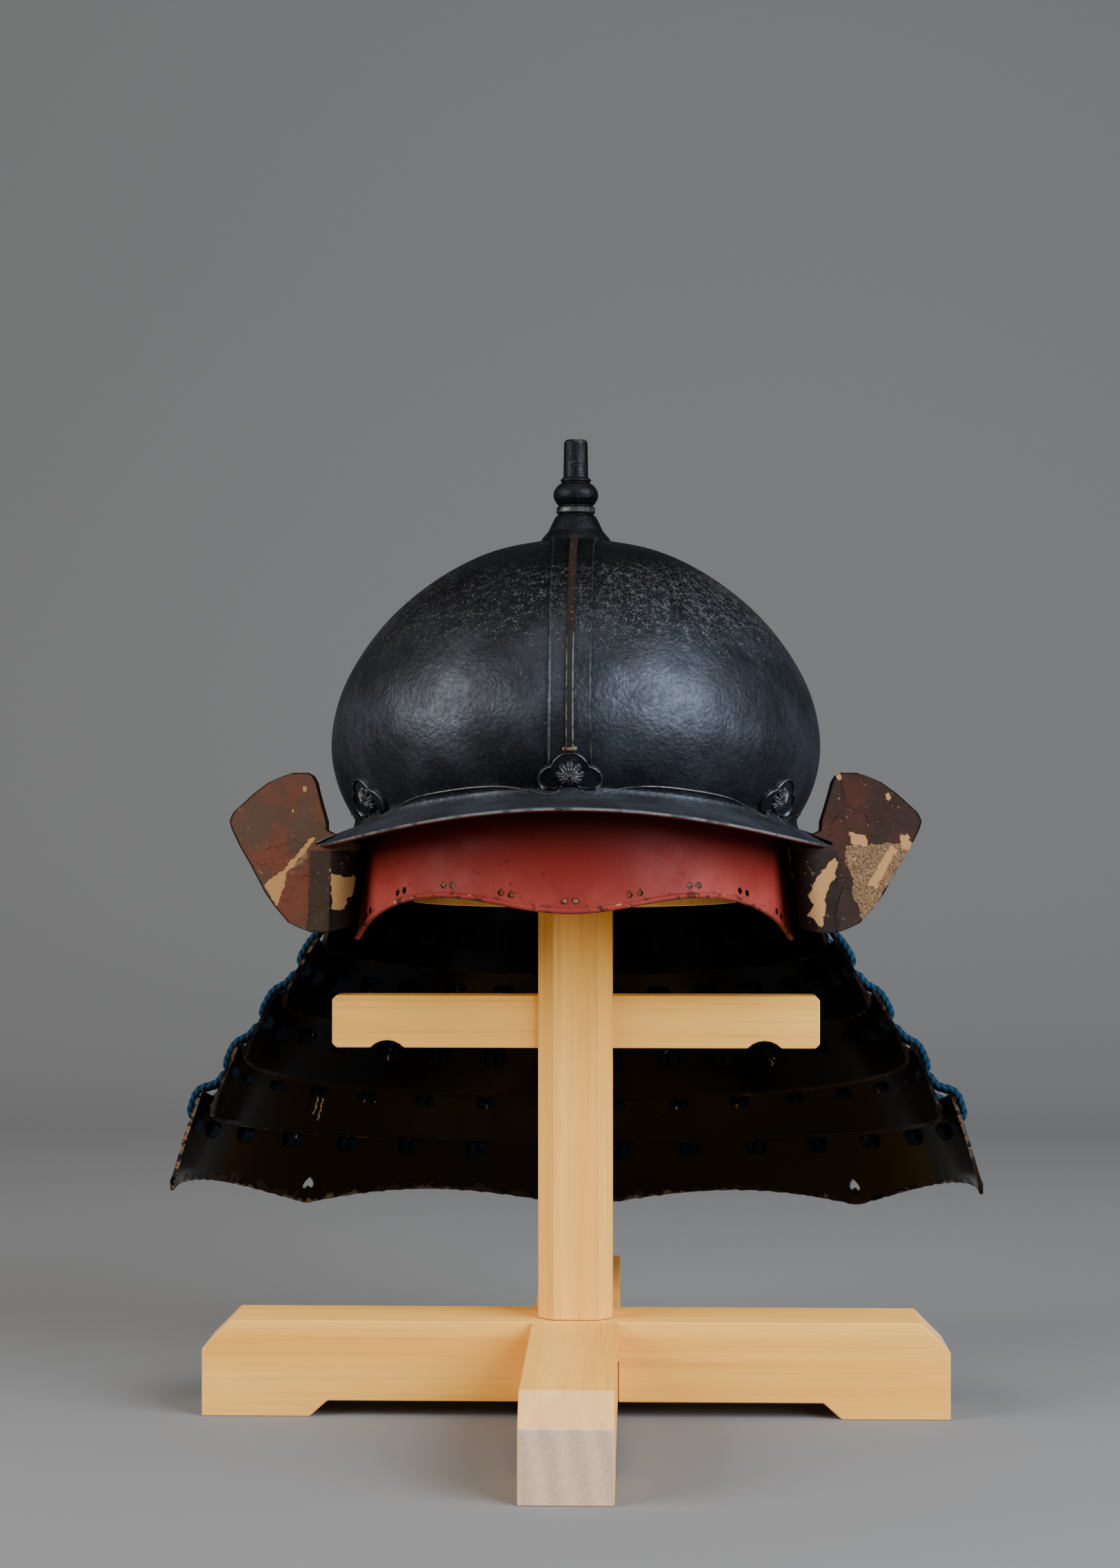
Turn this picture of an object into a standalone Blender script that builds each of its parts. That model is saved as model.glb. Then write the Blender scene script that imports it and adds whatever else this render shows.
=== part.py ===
"""Iron helmet with a five-lame laced neck guard, resting on its plain wooden cross-foot stand.

Metres, +Z up. The helmet faces -Y. The origin is on the ground, at the middle of the stand's foot.
Azimuths are measured round the helmet from its front, positive toward +X.
"""

import math

import bmesh
import bpy
import numpy as np

# Fits
SEAT = 0.0003
NOTCH_CLEARANCE = 0.0012

# Bowl: a round dome drawn in above its base, with a collar, a flared front brim and a small rear lip
BOWL_HALF_WIDTH = 0.1154
BOWL_HALF_DEPTH = 0.1200
BOWL_WALL = 0.0018
BOWL_SIDES = 40
CROWN_HEIGHT = 0.4107
BASE_SIDE_HEIGHT = 0.2744
BASE_FRONT_RISE = 0.0156
COLLAR_HEIGHT = 0.0050
COLLAR_STEP = 0.0012
COLLAR_TOP_SHARE = 0.9
BRIM_FRONT_REACH = 0.0320
BRIM_SIDE_REACH = 0.0200
BRIM_FRONT_DROP = 0.0034
BRIM_SIDE_DROP = 0.0064
BRIM_BEND_REACH = 0.3
BRIM_BEND_DROP = 0.2
BRIM_EDGE_THICKNESS = 0.0020
BRIM_TIP_ANGLE = math.radians(81)
BRIM_END_ANGLE = math.radians(99)
LIP_REACH = 0.0050
LIP_DROP = 0.0015

# Finial on the crown, and the strips that run down from it at the front and the back
FINIAL_HEIGHT = 0.0484
FINIAL_BASE_RADIUS = 0.0169
FINIAL_SIDES = 14
CROWN_MARGIN = 0.0016
BAND_WIDTH = 0.0195
BAND_THICKNESS = 0.0009
BAND_EDGE_WIDTH = 0.0014
BAND_EDGE_HEIGHT = 0.0007
RIB_WIDTH = 0.0035
RIB_HEIGHT = 0.0018
BRACKET_WIDTH = 0.0067
BRACKET_HEIGHT = 0.0018
BRACKET_THICKNESS = 0.0022

# Medallions in a ring just above the collar
MEDALLION_COUNT = 6
MEDALLION_HALF_WIDTH = 0.0142
MEDALLION_HALF_HEIGHT = 0.0104
MEDALLION_THICKNESS = 0.0024
MEDALLION_FIELD_DEPTH = 0.0011
MEDALLION_FRAME_SHARE = 0.80
MEDALLION_LOBE = 0.10
MEDALLION_SIDES = 18
MEDALLION_SEAT = 0.0006
ROSETTE_RADIUS = 0.0064
ROSETTE_RISE = 0.0014
ROSETTE_TOP_SHARE = 0.8
MEDALLION_MIDDLE_SHARE = 1.0
MEDALLION_TOP_SHARE = 2.15

# Brow band inside the bowl's base at the front
BROW_WALL = 0.0020
BROW_END_ANGLE = math.radians(68)
BROW_HUMP_ANGLE = math.radians(31)
BROW_TUCK = 0.0050
BROW_FLARE = 0.0055
BROW_MIDDLE_DEPTH = 0.0504
BROW_HUMP = 0.0064
BROW_TIP_DROP = 0.0215
BROW_BEAD = 0.0026
BROW_BEAD_RISE = 0.0013
BROW_HOLE_PAIRS = 9
BROW_HOLE_RADIUS = 0.00125
BROW_HOLE_PITCH = 0.0046
BROW_HOLE_LIFT = 0.0030
BROW_HOLE_SPREAD = 0.9
BROW_BEAD_SHOULDER = 0.0003
CUTTER_REACH = 0.0120

# Neck guard: five lames, each outside the one above it
GUARD_HALF_WIDTH = 0.1913
GUARD_HALF_DEPTH = 0.1715
GUARD_HEIGHT = 0.1660
GUARD_BACK_FALL = 0.0370
GUARD_END_ANGLE = math.radians(84)
FIRST_LAME_TOP_END_ANGLE = math.radians(67)
FIRST_LAME_FOOT_END_ANGLE = math.radians(63)
GUARD_STEPS = 24
LAME_WALL = 0.0018
LAME_TUCK = 0.0028
LAME_BOW = 0.0010
LAME_CORNER = 0.0040
CUSP_ARCH = 0.0090
HEART_WIDTH = 0.0080
HEART_HEIGHT = 0.0070
HEART_LIFT = 0.0100

# Lacing straps down the outside of the neck guard
STRAP_COLUMNS = 16
STRAP_PITCH_ANGLE = math.radians(12)
STRAP_WIDTH = 0.0110
STRAP_THICKNESS = 0.0016
STRAP_START_LIFT = 0.0160
STRAP_END_DROP = 0.0120
STRAP_STEP = 0.0040

# Turn-backs: the forward ends of the first lame, folded outward and swept back into broad ears
TURNBACK_LENGTH = 0.0761
TURNBACK_HEIGHT = 0.0725
TURNBACK_LIFT = 0.0079
TURNBACK_WALL = 0.0025
TURNBACK_RADIUS = 0.0070
TURNBACK_SWEEP = math.radians(25)
TURNBACK_COLUMNS = 8

# Stand
BEAM_LENGTH = 0.3500
FRONT_BEAM_LENGTH = 0.3700
BEAM_WIDTH = 0.0400
BEAM_HEIGHT = 0.0450
BEAM_END_CHAMFER = 0.0135
FOOT_LENGTH = 0.0506
FOOT_RUN = 0.0085
FOOT_RISE = 0.0075
POST_WIDTH = 0.0350
POST_CHAMFER = 0.0070
POST_TOP_HEIGHT = 0.2407
CROSSBAR_LENGTH = 0.2300
CROSSBAR_THICKNESS = 0.0160
CROSSBAR_HEIGHT = 0.0247
CROSSBAR_LOW_HEIGHT = 0.1718
CROSSBAR_CHAMFER = 0.0020
CROSSBAR_NOTCH_PLACE = 0.0890
CROSSBAR_NOTCH_WIDTH = 0.0160
CROSSBAR_NOTCH_DEPTH = 0.0035
DISC_RADIUS = 0.0780
DISC_THICKNESS = 0.0120
SPINDLE_RADIUS = 0.0140
CAP_RADIUS = 0.0360
CAP_HEIGHT = 0.0200
CAP_UNDERCUT = 0.0060
CAP_TOP_SHARE = 0.25
HEAD_SIDES = 24

# The dome's outline, crown first: drop as a share of its height, width as a share of its half-width
DOME_OUTLINE = (
    # drop, width
    (0.033, 0.330),
    (0.083, 0.465),
    (0.183, 0.641),
    (0.283, 0.766),
    (0.434, 0.895),
    (0.534, 0.953),
    (0.634, 0.987),
    (0.735, 1.000),
    (0.835, 0.987),
    (0.934, 0.947),
    (1.000, 0.905),
)

# The finial's turning, foot first: shares of its height and of its base radius
FINIAL_OUTLINE = (
    # height, radius
    (0.000, 1.000),
    (0.041, 0.917),
    (0.103, 0.763),
    (0.176, 0.669),
    (0.244, 0.568),
    (0.262, 0.485),
    (0.281, 0.544),
    (0.331, 0.544),
    (0.349, 0.473),
    (0.380, 0.550),
    (0.420, 0.615),
    (0.459, 0.633),
    (0.504, 0.603),
    (0.550, 0.509),
    (0.579, 0.385),
    (0.591, 0.426),
    (0.612, 0.426),
    (0.628, 0.349),
    (0.975, 0.331),
    (1.000, 0.272),
)

# The lames, top first. Spread runs from the bowl's base (0) to the guard's full size (1), level is a
# share of the guard's height down from the base, and fall is a share of the extra drop at the back.
LAMES = (
    # top spread, foot spread, top level, foot level, top fall, foot fall
    (0.000, 0.137, 0.000, 0.301, 0.00, 0.62),
    (0.175, 0.370, 0.283, 0.470, 0.60, 0.78),
    (0.395, 0.590, 0.428, 0.624, 0.84, 0.99),
    (0.615, 0.772, 0.575, 0.786, 1.00, 0.91),
    (0.830, 1.000, 0.711, 1.000, 0.97, 0.92),
)

# A turn-back's outline, foot first: level as a share of its height, start and end as shares of its length
TURNBACK_OUTLINE = (
    # level, start, end
    (0.000, 0.184, 0.297),
    (0.021, 0.114, 0.373),
    (0.055, 0.000, 0.463),
    (0.152, 0.000, 0.577),
    (0.234, 0.000, 0.658),
    (0.400, 0.000, 0.787),
    (0.524, 0.000, 0.891),
    (0.634, 0.283, 0.971),
    (0.690, 0.294, 1.000),
    (0.745, 0.322, 0.982),
    (0.869, 0.381, 0.853),
    (0.938, 0.411, 0.760),
    (0.979, 0.445, 0.662),
    (1.000, 0.491, 0.593),
)

DEPTH_RATIO = BOWL_HALF_DEPTH / BOWL_HALF_WIDTH
NECK_HALF_WIDTH = DOME_OUTLINE[-1][1] * BOWL_HALF_WIDTH
CROWN_FLAT_RADIUS = FINIAL_BASE_RADIUS + CROWN_MARGIN
GUARD_TOP_HEIGHT = BASE_SIDE_HEIGHT - BOWL_WALL - LIP_DROP


def clear_scene():
    """Remove whatever the scene holds."""
    for thing in list(bpy.data.objects):
        bpy.data.objects.remove(thing, do_unlink=True)


def finish(name, colour, roughness, metallic):
    """A plain Principled material."""
    material = bpy.data.materials.new(name)
    material.use_nodes = True
    shader = material.node_tree.nodes["Principled BSDF"]
    shader.inputs["Base Color"].default_value = (*colour, 1.0)
    shader.inputs["Roughness"].default_value = roughness
    shader.inputs["Metallic"].default_value = metallic
    return material


def add_body(name, points, faces, material):
    """Put points and faces into the scene as one object whose faces point out."""
    mesh = bpy.data.meshes.new(name)
    mesh.from_pydata([tuple(map(float, point)) for point in points], [], faces)
    shape = bmesh.new()
    shape.from_mesh(mesh)
    bmesh.ops.recalc_face_normals(shape, faces=shape.faces)
    shape.to_mesh(mesh)
    shape.free()
    mesh.shade_smooth()
    mesh.set_sharp_from_angle(angle=math.radians(35))
    body = bpy.data.objects.new(name, mesh)
    bpy.context.scene.collection.objects.link(body)
    if material:
        mesh.materials.append(material)
    return body


def loft(name, sections, material, tips=()):
    """Join closed loops of points into one body.

    Its two ends are flat faces, or fans that meet at the two points in tips.
    """
    sections = np.asarray(sections, dtype=float)
    count, size = sections.shape[:2]
    points = sections.reshape(-1, 3).tolist() + [list(tip) for tip in tips]
    steps = [(i, (i + 1) % size) for i in range(size)]
    faces = []
    for row in range(count - 1):
        low = row * size
        high = low + size
        faces += [(low + i, low + j, high + j, high + i) for i, j in steps]
    last = (count - 1) * size
    if tips:
        faces += [(j, i, count * size) for i, j in steps]
        faces += [(last + i, last + j, count * size + 1) for i, j in steps]
    else:
        faces.append(tuple(reversed(range(size))))
        faces.append(tuple(range(last, last + size)))
    return add_body(name, points, faces, material)


def extrude_outline(name, outline, axis, low, high, material):
    """A prism: an outline in the plane across the axis, drawn from low to high along it."""
    def place(point, height):
        spot = list(point)
        spot.insert(axis, height)
        return spot
    return loft(name, [[place(point, height) for point in outline] for height in (low, high)], material)


def box(name, low, high, material=None):
    """A plain block between two corners."""
    outline = ((low[0], low[1]), (high[0], low[1]), (high[0], high[1]), (low[0], high[1]))
    return extrude_outline(name, outline, 2, low[2], high[2], material)


def turned(name, outline, sides, material):
    """A turned body from its outline of radius and height, foot first."""
    turns = [2 * math.pi * i / sides for i in range(sides)]
    return loft(name, [[(radius * math.cos(turn), radius * math.sin(turn), height) for turn in turns]
                       for radius, height in outline], material)


def cut(body, cutter):
    """Take the cutter out of the body."""
    cutter.hide_render = True
    cutter.display_type = "WIRE"
    modifier = body.modifiers.new(cutter.name, "BOOLEAN")
    modifier.operation = "DIFFERENCE"
    modifier.solver = "EXACT"
    modifier.object = cutter


def ease(share):
    """A smooth step from 0 to 1."""
    share = min(max(share, 0.0), 1.0)
    return share * share * (3 - 2 * share)


def blend(low, high, share):
    """The value a share of the way from low to high."""
    return low + (high - low) * share


def front_share(azimuth):
    """1 at the front of the bowl, falling to 0 at its sides and behind them."""
    return max(math.cos(azimuth), 0.0)


def brim_share(azimuth):
    """1 where the brim runs, 0 where only the rear lip does."""
    turn = abs(math.remainder(azimuth, 2 * math.pi))
    return 1 - ease((turn - BRIM_TIP_ANGLE) / (BRIM_END_ANGLE - BRIM_TIP_ANGLE))


def base_height(azimuth):
    """Height of the bowl's base line, which rises at the front."""
    return BASE_SIDE_HEIGHT + BASE_FRONT_RISE * front_share(azimuth) ** 2


def brim_reach(azimuth):
    """How far the brim, or the rear lip, stands out from the bowl's neck."""
    brim = blend(BRIM_SIDE_REACH, BRIM_FRONT_REACH, front_share(azimuth) ** 2)
    return blend(LIP_REACH, brim, brim_share(azimuth))


def brim_drop(azimuth):
    """How far the brim's edge lies below the base line."""
    front = front_share(azimuth)
    brim = blend(BRIM_SIDE_DROP, BRIM_FRONT_DROP, front ** 3) + BASE_FRONT_RISE * (front ** 2 - front ** 3)
    return blend(LIP_DROP, brim, brim_share(azimuth))


def around(azimuth, half_width, half_depth, height):
    """A point on the oval with these half-sizes."""
    return np.array((half_width * math.sin(azimuth), -half_depth * math.cos(azimuth), height))


def on_oval(azimuth, width, out, height):
    """A point on the bowl's oval of this half-width, moved out by a plain distance."""
    return around(azimuth, width + out, width * DEPTH_RATIO + out, height)


def dome_rows(azimuth):
    """The dome's outline at one azimuth, crown first, as half-widths and heights."""
    low = base_height(azimuth) + COLLAR_HEIGHT
    rows = [(CROWN_FLAT_RADIUS, CROWN_HEIGHT)]
    fall = CROWN_HEIGHT - low
    rows += [(width * BOWL_HALF_WIDTH, CROWN_HEIGHT - drop * fall) for drop, width in DOME_OUTLINE]
    return np.array(rows)


def outward(rows):
    """Unit directions that point out of an outline, at each of its rows."""
    along = np.gradient(rows, axis=0)
    across = np.stack((-along[:, 1], along[:, 0]), axis=1)
    return across / np.linalg.norm(across, axis=1, keepdims=True)


def bowl_path(azimuth):
    """The bowl's whole outline at one azimuth: down the outside, round the edge and up the inside."""
    rows = dome_rows(azimuth)
    normals = outward(rows)
    low = base_height(azimuth)
    reach = brim_reach(azimuth)
    drop = brim_drop(azimuth)
    bend = blend(COLLAR_STEP, reach, BRIM_BEND_REACH)
    neck = NECK_HALF_WIDTH
    path = [(width, 0.0, height) for width, height in rows]
    path += [
        (neck, COLLAR_STEP, low + COLLAR_TOP_SHARE * COLLAR_HEIGHT),
        (neck, COLLAR_STEP, low),
        (neck, bend, low - BRIM_BEND_DROP * drop),
        (neck, reach, low - drop),
        (neck, reach, low - drop - BRIM_EDGE_THICKNESS),
        (neck, bend, low - BRIM_BEND_DROP * drop - BOWL_WALL),
        (neck, -BOWL_WALL, low - BOWL_WALL),
    ]
    path += [(width, -BOWL_WALL * normal[0], height - BOWL_WALL * normal[1])
             for (width, height), normal in zip(rows[::-1], normals[::-1])]
    return path


def make_bowl(iron):
    """The bowl, its collar, brim and rear lip, in one shell open at the bottom."""
    azimuths = [2 * math.pi * i / BOWL_SIDES for i in range(BOWL_SIDES)]
    paths = [bowl_path(azimuth) for azimuth in azimuths]
    rings = [[on_oval(azimuth, *path[row]) for azimuth, path in zip(azimuths, paths)]
             for row in range(len(paths[0]))]
    return loft("bowl", rings, iron)


def dome_climbs(azimuth):
    """Distances up the dome's outline from the collar, with the outline, collar first."""
    rows = dome_rows(azimuth)[::-1]
    steps = np.linalg.norm(np.diff(rows, axis=0), axis=1)
    return np.concatenate(((0.0,), np.cumsum(steps))), rows


def on_dome(azimuth, climb, lift, aside=0.0):
    """A point on the dome, this far up its outline and aside from the azimuth, raised by lift."""
    climbs, rows = dome_climbs(azimuth)
    width = np.interp(climb, climbs, rows[:, 0])
    turn = azimuth + math.asin(min(max(aside / width, -1.0), 1.0))
    climbs, rows = dome_climbs(turn)
    normals = outward(rows[::-1])[::-1]
    width, height = (np.interp(climb, climbs, rows[:, column]) for column in (0, 1))
    out, up = (np.interp(climb, climbs, normals[:, column]) for column in (0, 1))
    return on_oval(turn, width, out * lift, height + up * lift)


def strip_climbs(azimuth, start):
    """Stations up the dome from start to the crown, one at each row of its outline."""
    climbs, _rows = dome_climbs(azimuth)
    return [start] + [climb for climb in climbs if climb > start + 0.001]


def make_band(name, azimuth, start, iron):
    """A flat strip with raised edges that runs up the dome to the finial."""
    half = BAND_WIDTH / 2
    inner = half - BAND_EDGE_WIDTH
    floor = SEAT + BAND_THICKNESS
    edge = floor + BAND_EDGE_HEIGHT
    section = ((-half, SEAT), (-half, edge), (-inner, edge), (-inner, floor), (0.0, floor),
               (inner, floor), (inner, edge), (half, edge), (half, SEAT), (0.0, SEAT))
    return loft(name, [[on_dome(azimuth, climb, lift, aside) for aside, lift in section]
                       for climb in strip_climbs(azimuth, start)], iron)


def make_rib(name, azimuth, start, iron):
    """The raised rib along the middle of a band."""
    half = RIB_WIDTH / 2
    low = 2 * SEAT + BAND_THICKNESS
    high = low + RIB_HEIGHT
    section = ((-half, low), (-0.7 * half, high), (0.7 * half, high), (half, low))
    return loft(name, [[on_dome(azimuth, climb, lift, aside) for aside, lift in section]
                       for climb in strip_climbs(azimuth, start)], iron)


def make_bracket(start, brass):
    """The small bracket between the front medallion and the foot of the front rib."""
    half = BRACKET_WIDTH / 2
    high = SEAT + BRACKET_THICKNESS
    section = ((-half, SEAT), (-half, high), (half, high), (half, SEAT))
    climbs = (start, start + BRACKET_HEIGHT)
    return loft("rib_bracket", [[on_dome(0.0, climb, lift, aside) for aside, lift in section]
                                for climb in climbs], brass)


def medallion_radius(turn):
    """Radius of a medallion's three-lobed outline, one lobe up."""
    oval = 1 / math.hypot(math.cos(turn) / MEDALLION_HALF_WIDTH, math.sin(turn) / MEDALLION_HALF_HEIGHT)
    return oval * (1 + MEDALLION_LOBE * math.cos(3 * (turn - math.pi / 2)))


def make_medallion(name, azimuth, iron):
    """A lobed frame round a sunken field, with a round boss in its middle."""
    middle = MEDALLION_MIDDLE_SHARE * MEDALLION_HALF_HEIGHT
    top = MEDALLION_SEAT + MEDALLION_THICKNESS
    field = top - MEDALLION_FIELD_DEPTH
    boss = field + ROSETTE_RISE
    turns = [2 * math.pi * i / MEDALLION_SIDES for i in range(MEDALLION_SIDES)]
    outline = [medallion_radius(turn) for turn in turns]
    frame = [MEDALLION_FRAME_SHARE * radius for radius in outline]
    boss_top = [ROSETTE_TOP_SHARE * ROSETTE_RADIUS] * MEDALLION_SIDES
    boss_foot = [ROSETTE_RADIUS] * MEDALLION_SIDES
    rings = ((boss_top, boss), (boss_foot, field), (frame, field), (frame, top),
             (outline, top), (outline, MEDALLION_SEAT))
    sections = [[on_dome(azimuth, middle + radius * math.sin(turn), lift, radius * math.cos(turn))
                 for radius, turn in zip(radii, turns)] for radii, lift in rings]
    tips = (on_dome(azimuth, middle, boss), on_dome(azimuth, middle, MEDALLION_SEAT))
    return loft(name, sections, iron, tips)


def make_finial(iron):
    """The turned finial: a cone foot, a ring, a ball and a short tube."""
    foot = CROWN_HEIGHT + SEAT
    outline = [(radius * FINIAL_BASE_RADIUS, foot + height * FINIAL_HEIGHT)
               for height, radius in FINIAL_OUTLINE]
    return turned("finial", outline, FINIAL_SIDES, iron)


def brow_edge_height(azimuth):
    """Height of the brow band's lower edge: a low middle, a hump at each side and long tips."""
    turn = abs(azimuth)
    middle = BASE_SIDE_HEIGHT + BASE_FRONT_RISE - BROW_MIDDLE_DEPTH
    if turn < BROW_HUMP_ANGLE:
        return middle + BROW_HUMP * math.sin(math.pi / 2 * turn / BROW_HUMP_ANGLE) ** 2
    past = (turn - BROW_HUMP_ANGLE) / (BROW_END_ANGLE - BROW_HUMP_ANGLE)
    return middle + BROW_HUMP - BROW_TIP_DROP * past ** 2


def brow_section(azimuth):
    """The brow band's cross-section at one azimuth, with a bead along its lower edge."""
    top = base_height(azimuth) + BROW_TUCK
    foot = brow_edge_height(azimuth)
    flare_start = base_height(azimuth) - BOWL_WALL
    outer = -BOWL_WALL - 2 * SEAT
    bead = foot + BROW_BEAD
    bead_out = BROW_FLARE * (flare_start - bead) / (flare_start - foot)
    loop = (
        (outer, top), (outer, flare_start), (outer + bead_out, bead + BROW_BEAD_SHOULDER),
        (outer + bead_out + BROW_BEAD_RISE, bead), (outer + BROW_FLARE + BROW_BEAD_RISE, foot),
        (outer + BROW_FLARE - BROW_WALL, foot), (outer - BROW_WALL, flare_start), (outer - BROW_WALL, top),
    )
    return [on_oval(azimuth, NECK_HALF_WIDTH, out, height) for out, height in loop]


def brow_hole_spots():
    """Azimuths and heights of the paired holes above the bead."""
    half_turn = BROW_HOLE_PITCH / 2 / NECK_HALF_WIDTH
    pitch = 2 * BROW_HOLE_SPREAD * BROW_END_ANGLE / (BROW_HOLE_PAIRS - 1)
    for pair in range(BROW_HOLE_PAIRS):
        middle = (pair - (BROW_HOLE_PAIRS - 1) / 2) * pitch
        for azimuth in (middle - half_turn, middle + half_turn):
            yield azimuth, brow_edge_height(azimuth) + BROW_BEAD + BROW_HOLE_LIFT


def make_brow_band(lacquer):
    """The brow band, with its paired holes cut through."""
    steps = 2 * round(BROW_END_ANGLE / (2 * math.pi / BOWL_SIDES))
    azimuths = np.linspace(-BROW_END_ANGLE, BROW_END_ANGLE, steps + 1)
    band = loft("brow_band", [brow_section(azimuth) for azimuth in azimuths], lacquer)
    points = []
    faces = []
    sides = 6
    for azimuth, height in brow_hole_spots():
        across = around(azimuth + math.pi / 2, 1.0, 1.0, 0.0)
        first = len(points)
        for out in (-CUTTER_REACH, CUTTER_REACH):
            middle = on_oval(azimuth, NECK_HALF_WIDTH, out, height)
            for side in range(sides):
                turn = 2 * math.pi * side / sides
                lift = np.array((0.0, 0.0, BROW_HOLE_RADIUS * math.sin(turn)))
                points.append(middle + across * BROW_HOLE_RADIUS * math.cos(turn) + lift)
        ring = [(first + i, first + (i + 1) % sides) for i in range(sides)]
        faces += [(i, j, j + sides, i + sides) for i, j in ring]
        faces.append(tuple(first + i for i in reversed(range(sides))))
        faces.append(tuple(first + sides + i for i in range(sides)))
    cut(band, add_body("brow_hole_cutter", points, faces, None))
    return band


def guard_sweep(azimuth):
    """0 at the neck guard's front ends, 1 at its back."""
    turn = abs(math.remainder(azimuth - math.pi, 2 * math.pi))
    return math.cos(math.pi / 2 * min(turn / (math.pi - GUARD_END_ANGLE), 1.0))


def lame_end_angle(index, share):
    """Azimuth of a lame's right front end, a share of the way down; the first lame runs further forward."""
    if index == 0:
        return blend(FIRST_LAME_TOP_END_ANGLE, FIRST_LAME_FOOT_END_ANGLE, share)
    return GUARD_END_ANGLE


def lame_heights(index, azimuth):
    """Heights of a lame's top and foot at one azimuth."""
    _top_spread, _foot_spread, top_level, foot_level, top_fall, foot_fall = LAMES[index]
    sweep = guard_sweep(azimuth)
    top = GUARD_TOP_HEIGHT - top_level * GUARD_HEIGHT - top_fall * GUARD_BACK_FALL * sweep
    foot = GUARD_TOP_HEIGHT - foot_level * GUARD_HEIGHT - foot_fall * GUARD_BACK_FALL * sweep
    if index == 0:
        slope = brim_drop(azimuth) / brim_reach(azimuth)
        top = base_height(azimuth) - BOWL_WALL - slope * (LAME_TUCK + SEAT) - 2 * SEAT
    if index == len(LAMES) - 1:
        arc = abs(math.remainder(azimuth - math.pi, 2 * math.pi)) / (math.pi - GUARD_END_ANGLE)
        foot += CUSP_ARCH * abs(math.sin(2 * math.pi * arc))
    return top, foot


def on_lame(index, azimuth, share, out=0.0, rise=0.0):
    """A point on a lame's outer face, a share of the way down from its top, moved out and up."""
    top_spread, foot_spread = LAMES[index][:2]
    top, foot = lame_heights(index, azimuth)
    spread = blend(top_spread, foot_spread, share)
    bow = LAME_BOW * 4 * share * (1 - share)
    tuck = COLLAR_STEP + LAME_TUCK
    width = blend(NECK_HALF_WIDTH + tuck, GUARD_HALF_WIDTH, spread) + bow + out
    depth = blend(NECK_HALF_WIDTH * DEPTH_RATIO + tuck, GUARD_HALF_DEPTH, spread) + bow + out
    return around(azimuth, width, depth, blend(top, foot, share) + rise)


def make_lame(index, lacquer):
    """One lame of the neck guard, an open arc from one cheek round the back to the other."""
    shares = (0.0, 0.5, 1.0)
    sections = []
    for step in np.linspace(-1.0, 1.0, GUARD_STEPS + 1):
        corner = LAME_CORNER if abs(step) == 1.0 and index < len(LAMES) - 1 else 0.0
        section = []
        for out, order in ((0.0, shares), (-LAME_WALL, shares[::-1])):
            for share in order:
                azimuth = math.pi + step * (math.pi - lame_end_angle(index, share))
                section.append(on_lame(index, azimuth, share, out, corner * share))
        sections.append(section)
    return loft(f"neck_lame_{index + 1}", sections, lacquer)


def cut_hearts(lame):
    """Cut a heart-shaped hole, its tip up, above each side cusp of the lowest lame."""
    index = len(LAMES) - 1
    turns = [2 * math.pi * i / 12 for i in range(12)]
    for side, name in ((-1, "heart_cutter_left"), (1, "heart_cutter_right")):
        azimuth = math.pi - side * (math.pi - GUARD_END_ANGLE) / 2
        _top, foot = lame_heights(index, azimuth)
        across = around(azimuth + math.pi / 2, 1.0, 1.0, 0.0)
        out = around(azimuth, 1.0, 1.0, 0.0)
        middle = on_lame(index, azimuth, 1.0)
        middle[2] = foot + HEART_LIFT
        sections = []
        for reach in (-CUTTER_REACH, CUTTER_REACH):
            loop = []
            for turn in turns:
                wide = math.sin(turn) ** 3
                tall = (5 * math.cos(2 * turn) + 2 * math.cos(3 * turn) - 13 * math.cos(turn)) / 15
                spot = middle + out * reach + across * wide * HEART_WIDTH / 2
                loop.append(spot + np.array((0.0, 0.0, tall * HEART_HEIGHT / 2)))
            sections.append(loop)
        cut(lame, loft(name, sections, None))


def share_at(index, azimuth, height):
    """The share of the way down a lame at which its face has this height."""
    top, foot = lame_heights(index, azimuth)
    return (top - height) / (top - foot)


def strap_route(azimuth):
    """The stops of a strap's route at one azimuth, top first: lame, height and rise above its edge."""
    first_foot = lame_heights(0, azimuth)[1]
    last = len(LAMES) - 1
    stops = [(0, first_foot + STRAP_START_LIFT, 0.0)]
    for index in range(last):
        top = lame_heights(index + 1, azimuth)[0]
        stops += [
            (index, top + STRAP_STEP, 0.0),
            (index + 1, top, STRAP_THICKNESS),
            (index + 1, top - STRAP_STEP, 0.0),
        ]
    stops.append((last, lame_heights(last, azimuth)[0] - STRAP_END_DROP, 0.0))
    return stops


def strap_edge(azimuth, side):
    """One edge of a strap's middle surface, half its width aside from the azimuth all the way down."""
    out = 2 * SEAT + STRAP_THICKNESS / 2
    edge = []
    for stop, (index, height, rise) in enumerate(strap_route(azimuth)):
        middle = on_lame(index, azimuth, share_at(index, azimuth, height))
        turn = azimuth + side * STRAP_WIDTH / 2 / math.hypot(middle[0], middle[1])
        height = strap_route(turn)[stop][1]
        edge.append(on_lame(index, turn, share_at(index, turn, height), out, rise))
    return np.array(edge)


def make_strap(name, azimuth, cord):
    """One column of lacing: a strap down the outside of all the lames, stepping over each top edge."""
    left, right = (strap_edge(azimuth, side) for side in (-1, 1))
    along = np.gradient((left + right) / 2, axis=0)
    normal = np.cross(right - left, along)
    lift = STRAP_THICKNESS / 2 * normal / np.linalg.norm(normal, axis=1, keepdims=True)
    sections = np.stack((left - lift, right - lift, right + lift, left + lift), axis=1)
    return loft(name, sections, cord)


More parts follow.
